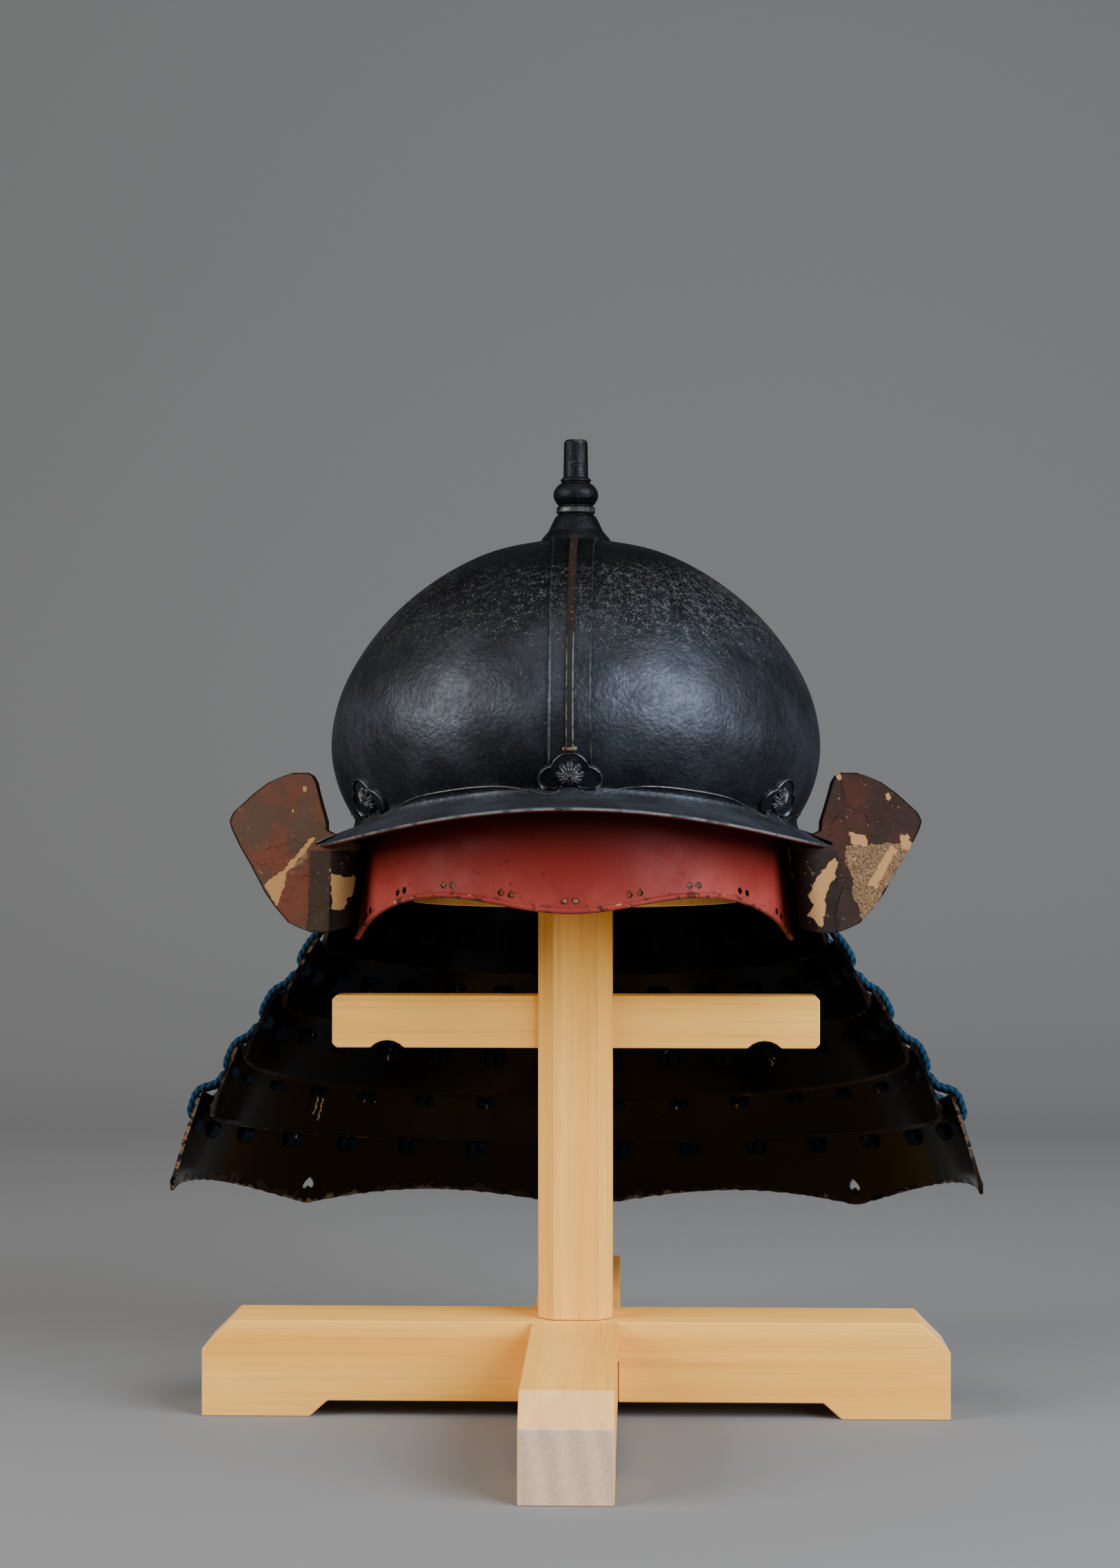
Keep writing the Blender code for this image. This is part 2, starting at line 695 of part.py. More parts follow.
def turnback_root(height):
    """Where the turn-back leaves the first lame's front end at this height, in the middle of its wall."""
    top, foot = (on_lame(0, lame_end_angle(0, share), share, -LAME_WALL / 2) for share in (0.0, 1.0))
    return blend(top, foot, (top[2] - height) / (top[2] - foot[2]))


def turnback_curl(distance):
    """Place and facing of the turn-back's plan curve: a round fold outward, then a run swept back."""
    start = lame_end_angle(0, 0.5) - math.pi / 2
    finish_turn = math.pi / 2 + TURNBACK_SWEEP
    turn = min(start + distance / TURNBACK_RADIUS, finish_turn)
    rest = max(distance - TURNBACK_RADIUS * (finish_turn - start), 0.0)
    aside = TURNBACK_RADIUS * (math.cos(start) - math.cos(turn)) + rest * math.sin(turn)
    ahead = -TURNBACK_RADIUS * (math.sin(turn) - math.sin(start)) - rest * math.cos(turn)
    aside += 2 * SEAT * math.sin(start)
    ahead -= 2 * SEAT * math.cos(start)
    return aside, ahead, (-math.cos(turn), -math.sin(turn))


def make_turnback(name, side, leather):
    """One turn-back, notched where the brim's end passes through it."""
    foot = lame_heights(0, GUARD_END_ANGLE)[1] + TURNBACK_LIFT
    sections = []
    for level, start, end in TURNBACK_OUTLINE:
        height = foot + level * TURNBACK_HEIGHT
        root_x, root_y, _height = turnback_root(height)
        front = []
        back = []
        for column in range(TURNBACK_COLUMNS + 1):
            distance = TURNBACK_LENGTH * blend(start, end, column / TURNBACK_COLUMNS)
            aside, ahead, facing = turnback_curl(distance)
            for row, half in ((front, TURNBACK_WALL / 2), (back, -TURNBACK_WALL / 2)):
                row.append((side * (root_x + aside + half * facing[0]),
                            root_y + ahead + half * facing[1], height))
        sections.append(front + back[::-1])
    ear = loft(name, sections, leather)
    tip = BRIM_TIP_ANGLE
    edge = NECK_HALF_WIDTH + BRIM_SIDE_REACH
    edge_top = base_height(tip) - brim_drop(tip)
    low = edge_top - BRIM_EDGE_THICKNESS - NOTCH_CLEARANCE / 2
    slope = BRIM_SIDE_DROP / (BRIM_SIDE_REACH - COLLAR_STEP)
    inner = NECK_HALF_WIDTH - COLLAR_HEIGHT
    outline = [(side * x, z) for x, z in (
        (inner, low),
        (edge + NOTCH_CLEARANCE, low),
        (edge + NOTCH_CLEARANCE, edge_top + NOTCH_CLEARANCE),
        (inner, edge_top + 1.5 * NOTCH_CLEARANCE + slope * (edge - inner)),
    )]
    reach = TURNBACK_LENGTH
    cut(ear, extrude_outline(f"{name}_notch_cutter", outline, 1, -reach, reach / 2, None))
    return ear


def beam_outline(length):
    """A foot beam's side view, along its length and height."""
    half = length / 2
    side = [(half, 0.0), (half, BEAM_HEIGHT - BEAM_END_CHAMFER), (half - BEAM_END_CHAMFER, BEAM_HEIGHT)]
    other = [(-x, z) for x, z in reversed(side)]
    foot = half - FOOT_LENGTH
    under = [(-foot, 0.0), (-foot + FOOT_RUN, FOOT_RISE), (foot - FOOT_RUN, FOOT_RISE), (foot, 0.0)]
    return side + other + under


def make_beams(wood):
    """The two foot beams, halved into each other where they cross."""
    half = BEAM_WIDTH / 2
    across = extrude_outline("stand_beam_x", beam_outline(BEAM_LENGTH), 1, -half, half, wood)
    ahead = extrude_outline("stand_beam_y", beam_outline(FRONT_BEAM_LENGTH), 0, -half, half, wood)
    lap = blend(FOOT_RISE, BEAM_HEIGHT, 0.5)
    gap = SEAT / 2
    slot = half + SEAT
    long = BEAM_WIDTH
    cut(across, box("lap_cutter_x", (-slot, -long, -BEAM_HEIGHT), (slot, long, lap + gap)))
    cut(ahead, box("lap_cutter_y", (-long, -slot, lap - gap), (long, slot, 2 * BEAM_HEIGHT)))


def make_post(wood):
    """The chamfered post, with a mortise for the crossbar."""
    half = POST_WIDTH / 2
    flat = half - POST_CHAMFER
    outline = ((half, flat), (flat, half), (-flat, half), (-half, flat),
               (-half, -flat), (-flat, -half), (flat, -half), (half, -flat))
    post = extrude_outline("stand_post", outline, 2, BEAM_HEIGHT + SEAT, POST_TOP_HEIGHT, wood)
    deep = CROSSBAR_THICKNESS / 2 + SEAT
    high = CROSSBAR_LOW_HEIGHT + CROSSBAR_HEIGHT + SEAT
    low = CROSSBAR_LOW_HEIGHT - SEAT
    cut(post, box("mortise_cutter", (-POST_WIDTH, -deep, low), (POST_WIDTH, deep, high)))


def notch_arc(middle):
    """Points of one shallow round notch in the crossbar's underside, from its +X end to its -X end."""
    half = CROSSBAR_NOTCH_WIDTH / 2
    depth = CROSSBAR_NOTCH_DEPTH
    radius = (half ** 2 + depth ** 2) / (2 * depth)
    span = math.asin(half / radius)
    return [(middle + radius * math.sin(turn), CROSSBAR_LOW_HEIGHT + depth - radius + radius * math.cos(turn))
            for turn in np.linspace(span, -span, 7)]


def make_crossbar(wood):
    """The crossbar, with chamfered ends and a notch under each arm."""
    half = CROSSBAR_LENGTH / 2
    low = CROSSBAR_LOW_HEIGHT
    high = low + CROSSBAR_HEIGHT
    nip = CROSSBAR_CHAMFER
    outline = [(-half, low + nip), (-half, high - nip), (-half + nip, high), (half - nip, high),
               (half, high - nip), (half, low + nip), (half - nip, low)]
    outline += notch_arc(CROSSBAR_NOTCH_PLACE) + notch_arc(-CROSSBAR_NOTCH_PLACE) + [(-half + nip, low)]
    deep = CROSSBAR_THICKNESS / 2
    return extrude_outline("stand_crossbar", outline, 1, -deep, deep, wood)


def make_head(wood):
    """The turned head: a disc on the post, a spindle and a domed cap that carries the bowl."""
    low = POST_TOP_HEIGHT + SEAT
    top = CROWN_HEIGHT - BOWL_WALL - 2 * SEAT
    cap = top - CAP_HEIGHT
    outline = [(DISC_RADIUS, low), (DISC_RADIUS, low + DISC_THICKNESS), (SPINDLE_RADIUS, low + DISC_THICKNESS),
               (SPINDLE_RADIUS, cap - CAP_UNDERCUT), (CAP_RADIUS, cap)]
    for turn in np.linspace(0.25, 1.0, 4) * math.pi / 2:
        width = blend(CAP_TOP_SHARE, 1.0, math.cos(turn)) * CAP_RADIUS
        outline.append((width, cap + CAP_HEIGHT * math.sin(turn)))
    return turned("stand_head", outline, HEAD_SIDES, wood)


def make_helmet():
    """The helmet's own pieces."""
    iron = finish("black_iron", (0.030, 0.032, 0.036), 0.42, 0.85)
    rust = finish("rusted_iron", (0.120, 0.055, 0.035), 0.62, 0.55)
    brass = finish("dull_brass", (0.42, 0.30, 0.14), 0.45, 0.9)
    red = finish("red_lacquer", (0.36, 0.055, 0.045), 0.40, 0.0)
    black = finish("black_lacquer", (0.020, 0.017, 0.015), 0.28, 0.0)
    brown = finish("lacquered_leather", (0.105, 0.050, 0.030), 0.50, 0.0)
    blue = finish("blue_cord", (0.030, 0.085, 0.130), 0.85, 0.0)
    make_bowl(iron)
    make_finial(iron)
    medallion_top = MEDALLION_TOP_SHARE * MEDALLION_HALF_HEIGHT
    band_start = medallion_top + BRACKET_HEIGHT
    for name, azimuth in (("front", 0.0), ("back", math.pi)):
        make_band(f"{name}_band", azimuth, band_start + 2 * SEAT, iron)
        make_rib(f"{name}_rib", azimuth, band_start + 2 * SEAT, rust)
    make_bracket(medallion_top + SEAT, brass)
    for index in range(MEDALLION_COUNT):
        make_medallion(f"medallion_{index + 1}", 2 * math.pi * index / MEDALLION_COUNT, iron)
    make_brow_band(red)
    lames = [make_lame(index, black) for index in range(len(LAMES))]
    cut_hearts(lames[-1])
    for column in range(STRAP_COLUMNS):
        azimuth = math.pi + (column - (STRAP_COLUMNS - 1) / 2) * STRAP_PITCH_ANGLE
        make_strap(f"lacing_column_{column + 1:02d}", azimuth, blue)
    make_turnback("turnback_left", -1, brown)
    make_turnback("turnback_right", 1, brown)


def make_stand():
    """The stand's own pieces."""
    wood = finish("pale_wood", (0.68, 0.45, 0.22), 0.55, 0.0)
    make_beams(wood)
    make_post(wood)
    make_crossbar(wood)
    make_head(wood)


clear_scene()
make_stand()
make_helmet()
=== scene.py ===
"""The dressed iron helmet with its laced neck guard on a plain cross-foot stand.

Every shape is worked out from the same sizes as the CAD frame. Azimuths are measured round the helmet
from its front, positive toward +X, and the helmet faces -Y.
"""

import logging
import math
from dataclasses import dataclass, field
from enum import Enum

import bmesh
import bpy
import numpy as np
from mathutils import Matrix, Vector


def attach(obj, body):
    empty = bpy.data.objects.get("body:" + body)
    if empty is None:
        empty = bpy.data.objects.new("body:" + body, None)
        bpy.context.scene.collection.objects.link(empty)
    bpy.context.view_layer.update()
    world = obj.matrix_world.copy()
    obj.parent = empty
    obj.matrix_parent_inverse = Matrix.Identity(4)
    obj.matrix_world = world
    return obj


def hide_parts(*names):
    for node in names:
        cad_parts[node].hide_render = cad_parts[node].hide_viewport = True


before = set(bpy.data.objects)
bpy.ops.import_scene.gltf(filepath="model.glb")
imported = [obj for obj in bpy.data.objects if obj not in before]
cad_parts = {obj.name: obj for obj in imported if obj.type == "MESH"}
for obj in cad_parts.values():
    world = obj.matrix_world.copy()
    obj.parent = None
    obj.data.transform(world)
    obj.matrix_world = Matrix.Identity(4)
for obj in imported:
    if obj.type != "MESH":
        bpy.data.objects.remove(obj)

LOG = logging.getLogger("helmet")
Row = tuple[float, ...]
Array = np.ndarray
Body = bpy.types.Object
Look = bpy.types.Material
Socket = bpy.types.NodeSocket
Colour = tuple[float, float, float]
Value = float | Socket


class Axis(Enum):
    """The way a piece of wood's grain runs."""

    X = 0
    Y = 1
    Z = 2


class Side(Enum):
    """A side of the helmet, as its sign along X."""

    LEFT = -1
    RIGHT = 1


def circle(count: int) -> Array:
    """Even turns round a circle, as one row."""
    return np.linspace(0, 2 * math.pi, count, endpoint=False)[None, :]


def ease(share: Array) -> Array:
    """A smooth step from 0 to 1."""
    share = np.clip(share, 0.0, 1.0)
    return share * share * (3 - 2 * share)


def mix(low: Array, high: Array, share: Array) -> Array:
    """The value a share of the way from low to high."""
    return low + (high - low) * share


def peak(distance: Array, width: float) -> Array:
    """A rounded hill: 1 where the distance is nought, falling away over the width."""
    return np.exp(-(distance / width) ** 2)


def wrapped(turn: Array) -> Array:
    """An angle brought into the range from -pi to pi."""
    return (np.asarray(turn) + math.pi) % (2 * math.pi) - math.pi


def path_length(points: Array) -> Array:
    """The length along a line of points, up to each of them."""
    return np.concatenate(((0.0,), np.cumsum(np.linalg.norm(np.diff(points, axis=0), axis=1))))


def smoothed(values: Array, reach: int) -> Array:
    """Values blurred over this many neighbours at each side."""
    kernel = peak(np.linspace(-2.0, 2.0, 2 * reach + 1), 1.0)
    return np.convolve(np.pad(values, reach, "edge"), kernel / kernel.sum(), "valid")


def spline(stations: Array, values: Array, at: Array) -> Array:
    """A natural cubic curve through values at stations, read off at other places.

    Args:
        stations: Rising places of the values.
        values: One value for each station.
        at: The places to read.

    Returns:
        The curve's values there.
    """
    step = np.diff(stations)
    slope = np.diff(values) / step
    size = len(stations)
    matrix = np.eye(size)
    right = np.zeros(size)
    inner = np.arange(1, size - 1)
    matrix[inner, inner - 1] = step[:-1]
    matrix[inner, inner] = 2 * (step[:-1] + step[1:])
    matrix[inner, inner + 1] = step[1:]
    right[inner] = 6 * np.diff(slope)
    bend = np.linalg.solve(matrix, right)
    cell = np.clip(np.searchsorted(stations, at) - 1, 0, size - 2)
    run = at - stations[cell]
    rise = slope[cell] - step[cell] * (2 * bend[cell] + bend[cell + 1]) / 6
    return (values[cell] + rise * run + bend[cell] / 2 * run ** 2
            + (bend[cell + 1] - bend[cell]) / (6 * step[cell]) * run ** 3)


def grid_quads(rows: int, columns: int, wrap_rows: bool = False, wrap_columns: bool = False) -> Array:
    """The four corners of each face of a grid of points.

    Args:
        rows: Number of rows of points.
        columns: Number of points in a row.
        wrap_rows: Whether the last row joins the first.
        wrap_columns: Whether the last point of a row joins its first.

    Returns:
        An array of corner numbers, four to a face.
    """
    row = np.arange(rows if wrap_rows else rows - 1)[:, None]
    column = np.arange(columns if wrap_columns else columns - 1)[None, :]
    below = (row + 1) % rows
    beside = (column + 1) % columns
    return np.stack((row * columns + column, row * columns + beside,
                     below * columns + beside, below * columns + column), axis=-1).reshape(-1, 4)


def new_body(name: str, data: bpy.types.ID) -> Body:
    """An object with this data, linked to the scene."""
    body = bpy.data.objects.new(name, data)
    bpy.context.scene.collection.objects.link(body)
    return body


def write_mark(mesh: bpy.types.Mesh, name: str, values: Array) -> None:
    """Put a value on each point of a mesh."""
    mesh.attributes.new(name, "FLOAT", "POINT").data.foreach_set("value", values.astype(np.float32))


@dataclass
class Skin:
    """A mesh gathered from grids of points, with an optional value on each point."""

    name: str
    points: list[Array] = field(default_factory=list)
    faces: list[Array] = field(default_factory=list)
    marks: dict[str, list[Array]] = field(default_factory=dict)
    count: int = 0

    def add(self, points: Array, over_rows: bool = False, **marks: Array) -> "Skin":
        """Add one grid of points.

        Args:
            points: Rows by columns by three coordinates.
            over_rows: Whether the last row joins the first, and not each row's last point its first.
            marks: A value for each point, by the mark's name.

        Returns:
            The same skin.
        """
        rows, columns = points.shape[:2]
        self.points.append(points.reshape(-1, 3))
        self.faces.append(grid_quads(rows, columns, over_rows, not over_rows) + self.count)
        for mark, values in marks.items():
            column = self.marks.setdefault(mark, [])
            column.append(np.broadcast_to(values, (rows, columns)).reshape(-1))
        self.count += rows * columns
        return self

    def build(self, weld: float = 0.0) -> Body:
        """Make the object, with its faces pointing out.

        Args:
            weld: Points closer together than this become one.

        Returns:
            The new object.
        """
        points = np.concatenate(self.points)
        faces = np.concatenate(self.faces)
        mesh = bpy.data.meshes.new(self.name)
        mesh.vertices.add(len(points))
        mesh.vertices.foreach_set("co", points.astype(np.float32).ravel())
        mesh.loops.add(faces.size)
        mesh.loops.foreach_set("vertex_index", faces.astype(np.int32).ravel())
        mesh.polygons.add(len(faces))
        mesh.polygons.foreach_set("loop_start", np.arange(0, faces.size, 4, dtype=np.int32))
        mesh.update(calc_edges=True)
        for mark, parts in self.marks.items():
            write_mark(mesh, mark, np.concatenate(parts))
        shape = bmesh.new()
        shape.from_mesh(mesh)
        if weld:
            bmesh.ops.remove_doubles(shape, verts=shape.verts, dist=weld)
            bmesh.ops.dissolve_degenerate(shape, edges=shape.edges, dist=weld)
        open_edges = [edge for edge in shape.edges if edge.is_boundary]
        if open_edges:
            bmesh.ops.holes_fill(shape, edges=open_edges, sides=0)
        bmesh.ops.recalc_face_normals(shape, faces=shape.faces)
        shape.to_mesh(mesh)
        shape.free()
        mesh.shade_smooth()
        return new_body(self.name, mesh)


def place(body: Body, look: Look, nodes: tuple[str, ...] = (), sharp: float = 40) -> None:
    """Give a piece its material, its ride on the frame and the CAD nodes that it stands for.

    Args:
        body: The piece.
        look: Its material.
        nodes: The CAD nodes that it replaces.
        sharp: Edges that turn by more than this many degrees stay crisp.
    """
    body.data.materials.clear()
    body.data.materials.append(look)
    body.data.set_sharp_from_angle(angle=math.radians(sharp))
    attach(body, "root")
    if nodes:
        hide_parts(*nodes)
    LOG.info("%s: %d faces", body.name, len(body.data.polygons))


def carve(body: Body, cutter: Body) -> None:
    """Take one closed shape out of another and drop the cutter.

    Args:
        body: The piece that is cut.
        cutter: The shape that is taken out of it.
    """
    modifier = body.modifiers.new("Carve", "BOOLEAN")
    modifier.operation = "DIFFERENCE"
    modifier.solver = "EXACT"
    modifier.object = cutter
    view = bpy.context.evaluated_depsgraph_get()
    mesh = bpy.data.meshes.new_from_object(body.evaluated_get(view))
    old = body.data
    body.modifiers.clear()
    body.data = mesh
    mesh.name = old.name
    bpy.data.meshes.remove(old)
    spare = cutter.data
    bpy.data.objects.remove(cutter, do_unlink=True)
    bpy.data.meshes.remove(spare)


def tube(path: Array, across: Array, out: Array, width: Array, height: Array, sides: int) -> Array:
    """Rings of points round a path, as flat ovals.

    Args:
        path: The middle of each ring.
        across: The wide way of each ring's oval, of length 1.
        out: The narrow way of each ring's oval, of length 1.
        width: Half-width of all the rings, or of each point of each.
        height: Half-height of all the rings, or of each point of each.
        sides: Points in a ring.

    Returns:
        Rings by sides by three coordinates.
    """
    turn = circle(sides)
    wide = (width * np.cos(turn))[..., None] * across[:, None, :]
    tall = (height * np.sin(turn))[..., None] * out[:, None, :]
    return path[:, None, :] + wide + tall


@dataclass(frozen=True)
class BowlForm:
    """The bowl's sizes and its outline, the same as in the CAD source."""

    half_width: float = 0.1154
    half_depth: float = 0.1200
    wall: float = 0.0018
    crown_height: float = 0.4107
    crown_flat: float = 0.0185
    base_side: float = 0.2744
    base_rise: float = 0.0156
    collar_height: float = 0.0050
    collar_step: float = 0.0012
    skirt_length: float = 0.0072
    skirt_out: float = 0.0050
    brim_front_reach: float = 0.0320
    brim_side_reach: float = 0.0200
    brim_front_drop: float = 0.0034
    brim_side_drop: float = 0.0064
    brim_tip: float = math.radians(81)
    brim_end: float = math.radians(99)
    lip_reach: float = 0.0050
    lip_drop: float = 0.0015
    outline: tuple[Row, ...] = (
        # drop, width
        (0.033, 0.330), (0.083, 0.465), (0.183, 0.641), (0.283, 0.766), (0.434, 0.895), (0.534, 0.953),
        (0.634, 0.987), (0.735, 1.000), (0.835, 0.987), (0.934, 0.947), (1.000, 0.905),
    )

    @property
    def depth_ratio(self) -> float:
        """The bowl's depth for a width of 1."""
        return self.half_depth / self.half_width

    @property
    def neck(self) -> float:
        """Half-width of the bowl where it meets its collar."""
        return self.outline[-1][1] * self.half_width

    def front(self, azimuth: Array) -> Array:
        """1 at the front, falling to 0 at the sides and behind them."""
        return np.maximum(np.cos(azimuth), 0.0)

    def base(self, azimuth: Array) -> Array:
        """Height of the base line, which rises at the front."""
        return self.base_side + self.base_rise * self.front(azimuth) ** 2

    def brim_share(self, azimuth: Array) -> Array:
        """1 where the brim runs, 0 where only the rear lip does."""
        return 1 - ease((np.abs(wrapped(azimuth)) - self.brim_tip) / (self.brim_end - self.brim_tip))

    def reach(self, azimuth: Array) -> Array:
        """How far the brim or the rear lip stands out from the neck."""
        brim = mix(self.brim_side_reach, self.brim_front_reach, self.front(azimuth) ** 2)
        return mix(self.lip_reach, brim, self.brim_share(azimuth))

    def drop(self, azimuth: Array) -> Array:
        """How far the brim's edge lies below the base line."""
        front = self.front(azimuth)
        brim = mix(self.brim_side_drop, self.brim_front_drop, front ** 3)
        return mix(self.lip_drop, brim + self.base_rise * (front ** 2 - front ** 3), self.brim_share(azimuth))

    def around(self, azimuth: Array, width: Array, depth: Array, height: Array) -> Array:
        """Points on the ovals with these half-sizes: width by the sine, depth by minus the cosine."""
        azimuth, width, depth, height = np.broadcast_arrays(azimuth, width, depth, height)
        return np.stack((width * np.sin(azimuth), -depth * np.cos(azimuth), height), axis=-1)

    def on_oval(self, azimuth: Array, width: Array, out: Array, height: Array) -> Array:
        """Points on the bowl's oval of this half-width, moved out by a plain distance."""
        return self.around(azimuth, width + out, width * self.depth_ratio + out, height)

    def profile(self, share: Array) -> tuple[Array, Array]:
        """The dome's smooth outline.

        The outline's rows, with the crown's flat before them, are joined by a natural cubic curve along
        their own length.

        Args:
            share: Place along the outline, from 0 at the crown to 1 at the collar.

        Returns:
            Drop as a share of the dome's height, and half-width.
        """
        rows = np.array(((0.0, self.crown_flat / self.half_width),) + self.outline)
        fall = self.crown_height - self.base_side - self.collar_height
        steps = np.hypot(np.diff(rows[:, 0]) * fall, np.diff(rows[:, 1]) * self.half_width)
        stations = np.concatenate(((0.0,), np.cumsum(steps))) / steps.sum()
        return spline(stations, rows[:, 0], share), spline(stations, rows[:, 1], share) * self.half_width

    def dome(self, azimuth: Array, share: Array) -> tuple[Array, Array, Array, Array]:
        """The dome's half-width and height at a place along its outline, and the way that faces out there.

        Args:
            azimuth: Where round the bowl.
            share: Place along the outline, from 0 at the crown to 1 at the collar.

        Returns:
            Half-width, height, and the outward direction's parts along the width and up.
        """
        fall = self.crown_height - self.base(azimuth) - self.collar_height
        drop, width = self.profile(share)
        nudge = 0.002
        low_drop, low_width = self.profile(np.minimum(share + nudge, 1.0))
        high_drop, high_width = self.profile(np.maximum(share - nudge, 0.0))
        run = low_width - high_width
        sink = (low_drop - high_drop) * fall
        length = np.hypot(run, sink)
        return width, self.crown_height - drop * fall, sink / length, run / length

    def skirt(self, azimuth: Array, share: Array) -> tuple[Array, Array, Array, Array]:
        """The curve from the dome's foot to the brim, hollow at the front and steep behind it.

        Args:
            azimuth: Where round the bowl.
            share: Place along it, from 0 at the dome to 1 at the brim.

        Returns:
            Distance out from the neck, drop, and the outward direction's parts out and up.
        """
        end = mix(self.collar_step, self.skirt_out, ease(self.front(azimuth) / 0.7))
        steep = 0.65 * self.collar_height
        out, drop = share ** 2 * end, 2 * share * (1 - share) * steep + share ** 2 * self.collar_height
        run, sink = 2 * share * end, 2 * (1 - 2 * share) * steep + 2 * share * self.collar_height
        length = np.hypot(run, sink)
        return out, drop, sink / length, run / length

    def share_at(self, azimuth: Array, climb: Array) -> Array:
        """The place along the outline that lies this far up from the collar.

        Args:
            azimuth: Where round the bowl, one for each climb.
            climb: Distances up the outline.

        Returns:
            Places along the outline, from 0 at the crown to 1 at the collar.
        """
        fall = (self.crown_height - self.base(azimuth) - self.collar_height)[..., None]
        table = np.linspace(1.0, 0.0, 160)
        drop, width = self.profile(table)
        steps = np.hypot(np.diff(drop) * fall, np.diff(width))
        climbs = np.concatenate((np.zeros_like(fall), np.cumsum(steps, axis=-1)), axis=-1)
        cell = np.clip((climbs <= climb[..., None]).sum(axis=-1) - 1, 0, len(table) - 2)
        low, high = (np.take_along_axis(climbs, each[..., None], axis=-1)[..., 0]
                     for each in (cell, cell + 1))
        return mix(table[cell], table[cell + 1], np.clip((climb - low) / (high - low), 0.0, 1.0))

    def on_dome(self, azimuth: Array, climb: Array, lift: Array, aside: Array = 0.0) -> Array:
        """Points on the dome, this far up its outline and aside from the azimuth, raised by lift.

        Args:
            azimuth: The azimuth that aside is measured from.
            climb: Distance up the outline from the dome's foot; below nought it runs down the skirt.
            lift: Height above the surface.
            aside: Distance aside along the surface, toward +X at the front.

        Returns:
            The points.
        """
        azimuth, climb, lift, aside = np.broadcast_arrays(*(np.asarray(value, dtype=float)
                                                            for value in (azimuth, climb, lift, aside)))
        width = self.dome(azimuth, self.share_at(azimuth, climb))[0]
        turn = azimuth + np.arcsin(np.clip(aside / width, -1.0, 1.0))
        width, height, out, up = self.dome(turn, self.share_at(turn, climb))
        step, drop, skirt_out, skirt_up = self.skirt(turn, np.clip(-climb / self.skirt_length, 0.0, 1.0))
        blend = ease(0.5 - climb / 0.002)
        out, up = mix(out, skirt_out, blend), mix(up, skirt_up, blend)
        return self.on_oval(turn, width, step + out * lift, height - drop + up * lift)


@dataclass(frozen=True)
class GuardForm:
    """The neck guard's sizes and the shape of its lames, the same as in the CAD source."""

    bowl: BowlForm = field(default_factory=BowlForm)
    half_width: float = 0.1913
    half_depth: float = 0.1715
    height: float = 0.1660
    back_fall: float = 0.0370
    end_angle: float = math.radians(84)
    first_top_end: float = math.radians(67)
    first_foot_end: float = math.radians(63)
    wall: float = 0.0018
    tuck: float = 0.0028
    bow: float = 0.0010
    seat: float = 0.0003
    cusp_arch: float = 0.0090
    lames: tuple[Row, ...] = (
        # top spread, foot spread, top level, foot level, top fall, foot fall
        (0.000, 0.137, 0.000, 0.301, 0.00, 0.62),
        (0.175, 0.370, 0.283, 0.470, 0.60, 0.78),
        (0.395, 0.590, 0.428, 0.624, 0.84, 0.99),
        (0.615, 0.772, 0.575, 0.786, 1.00, 0.91),
        (0.830, 1.000, 0.711, 1.000, 0.97, 0.92),
    )

    def from_back(self, azimuth: Array) -> Array:
        """How far round from the back an azimuth lies."""
        return np.abs(wrapped(np.asarray(azimuth) - math.pi))

    def end(self, index: int, share: Array) -> Array:
        """Azimuth of a lame's right front end, a share of the way down."""
        if index == 0:
            return mix(self.first_top_end, self.first_foot_end, share)
        return np.full_like(np.asarray(share, dtype=float), self.end_angle)

    def heights(self, index: int, azimuth: Array) -> tuple[Array, Array]:
        """Heights of a lame's top and foot.

        Args:
            index: Which lame, 0 at the top.
            azimuth: Where round the guard.

        Returns:
            The top and the foot.
        """
        top_level, foot_level, top_fall, foot_fall = self.lames[index][2:]
        reach = math.pi - self.end_angle
        sweep = np.cos(math.pi / 2 * np.minimum(self.from_back(azimuth) / reach, 1.0))
        start = self.bowl.base_side - self.bowl.wall - self.bowl.lip_drop
        top = start - top_level * self.height - top_fall * self.back_fall * sweep
        foot = start - foot_level * self.height - foot_fall * self.back_fall * sweep
        if index == 0:
            slope = self.bowl.drop(azimuth) / self.bowl.reach(azimuth)
            top = self.bowl.base(azimuth) - self.bowl.wall - slope * (self.tuck + self.seat) - 2 * self.seat
        if index == len(self.lames) - 1:
            foot = foot + self.cusp_arch * np.abs(np.sin(2 * math.pi * self.from_back(azimuth) / reach))
        return top, foot

    def on_lame(self, index: int, azimuth: Array, share: Array, out: Array = 0.0, rise: Array = 0.0) -> Array:
        """Points on a lame's outer face.

        Args:
            index: Which lame, 0 at the top.
            azimuth: Where round the guard.
            share: Share of the way down from its top.
            out: Distance out from the face.
            rise: Distance up.

        Returns:
            The points.
        """
        top_spread, foot_spread = self.lames[index][:2]
        top, foot = self.heights(index, azimuth)
        spread = mix(top_spread, foot_spread, share)
        start = self.bowl.collar_step + self.tuck
        puff = self.bow * 4 * share * (1 - share) + out
        width = mix(self.bowl.neck + start, self.half_width, spread) + puff
        depth = mix(self.bowl.neck * self.bowl.depth_ratio + start, self.half_depth, spread) + puff
        return self.bowl.around(azimuth, width, depth, mix(top, foot, share) + rise)

    def share_at(self, index: int, azimuth: Array, height: Array) -> Array:
        """The share of the way down a lame at which its face has this height."""
        top, foot = self.heights(index, azimuth)
        return (top - height) / (top - foot)


def shade(code: str) -> Colour:
    """A web colour code as linear red, green and blue."""
    parts = [int(code[start:start + 2], 16) / 255 for start in (0, 2, 4)]
    return tuple(part / 12.92 if part <= 0.04045 else ((part + 0.055) / 1.055) ** 2.4 for part in parts)


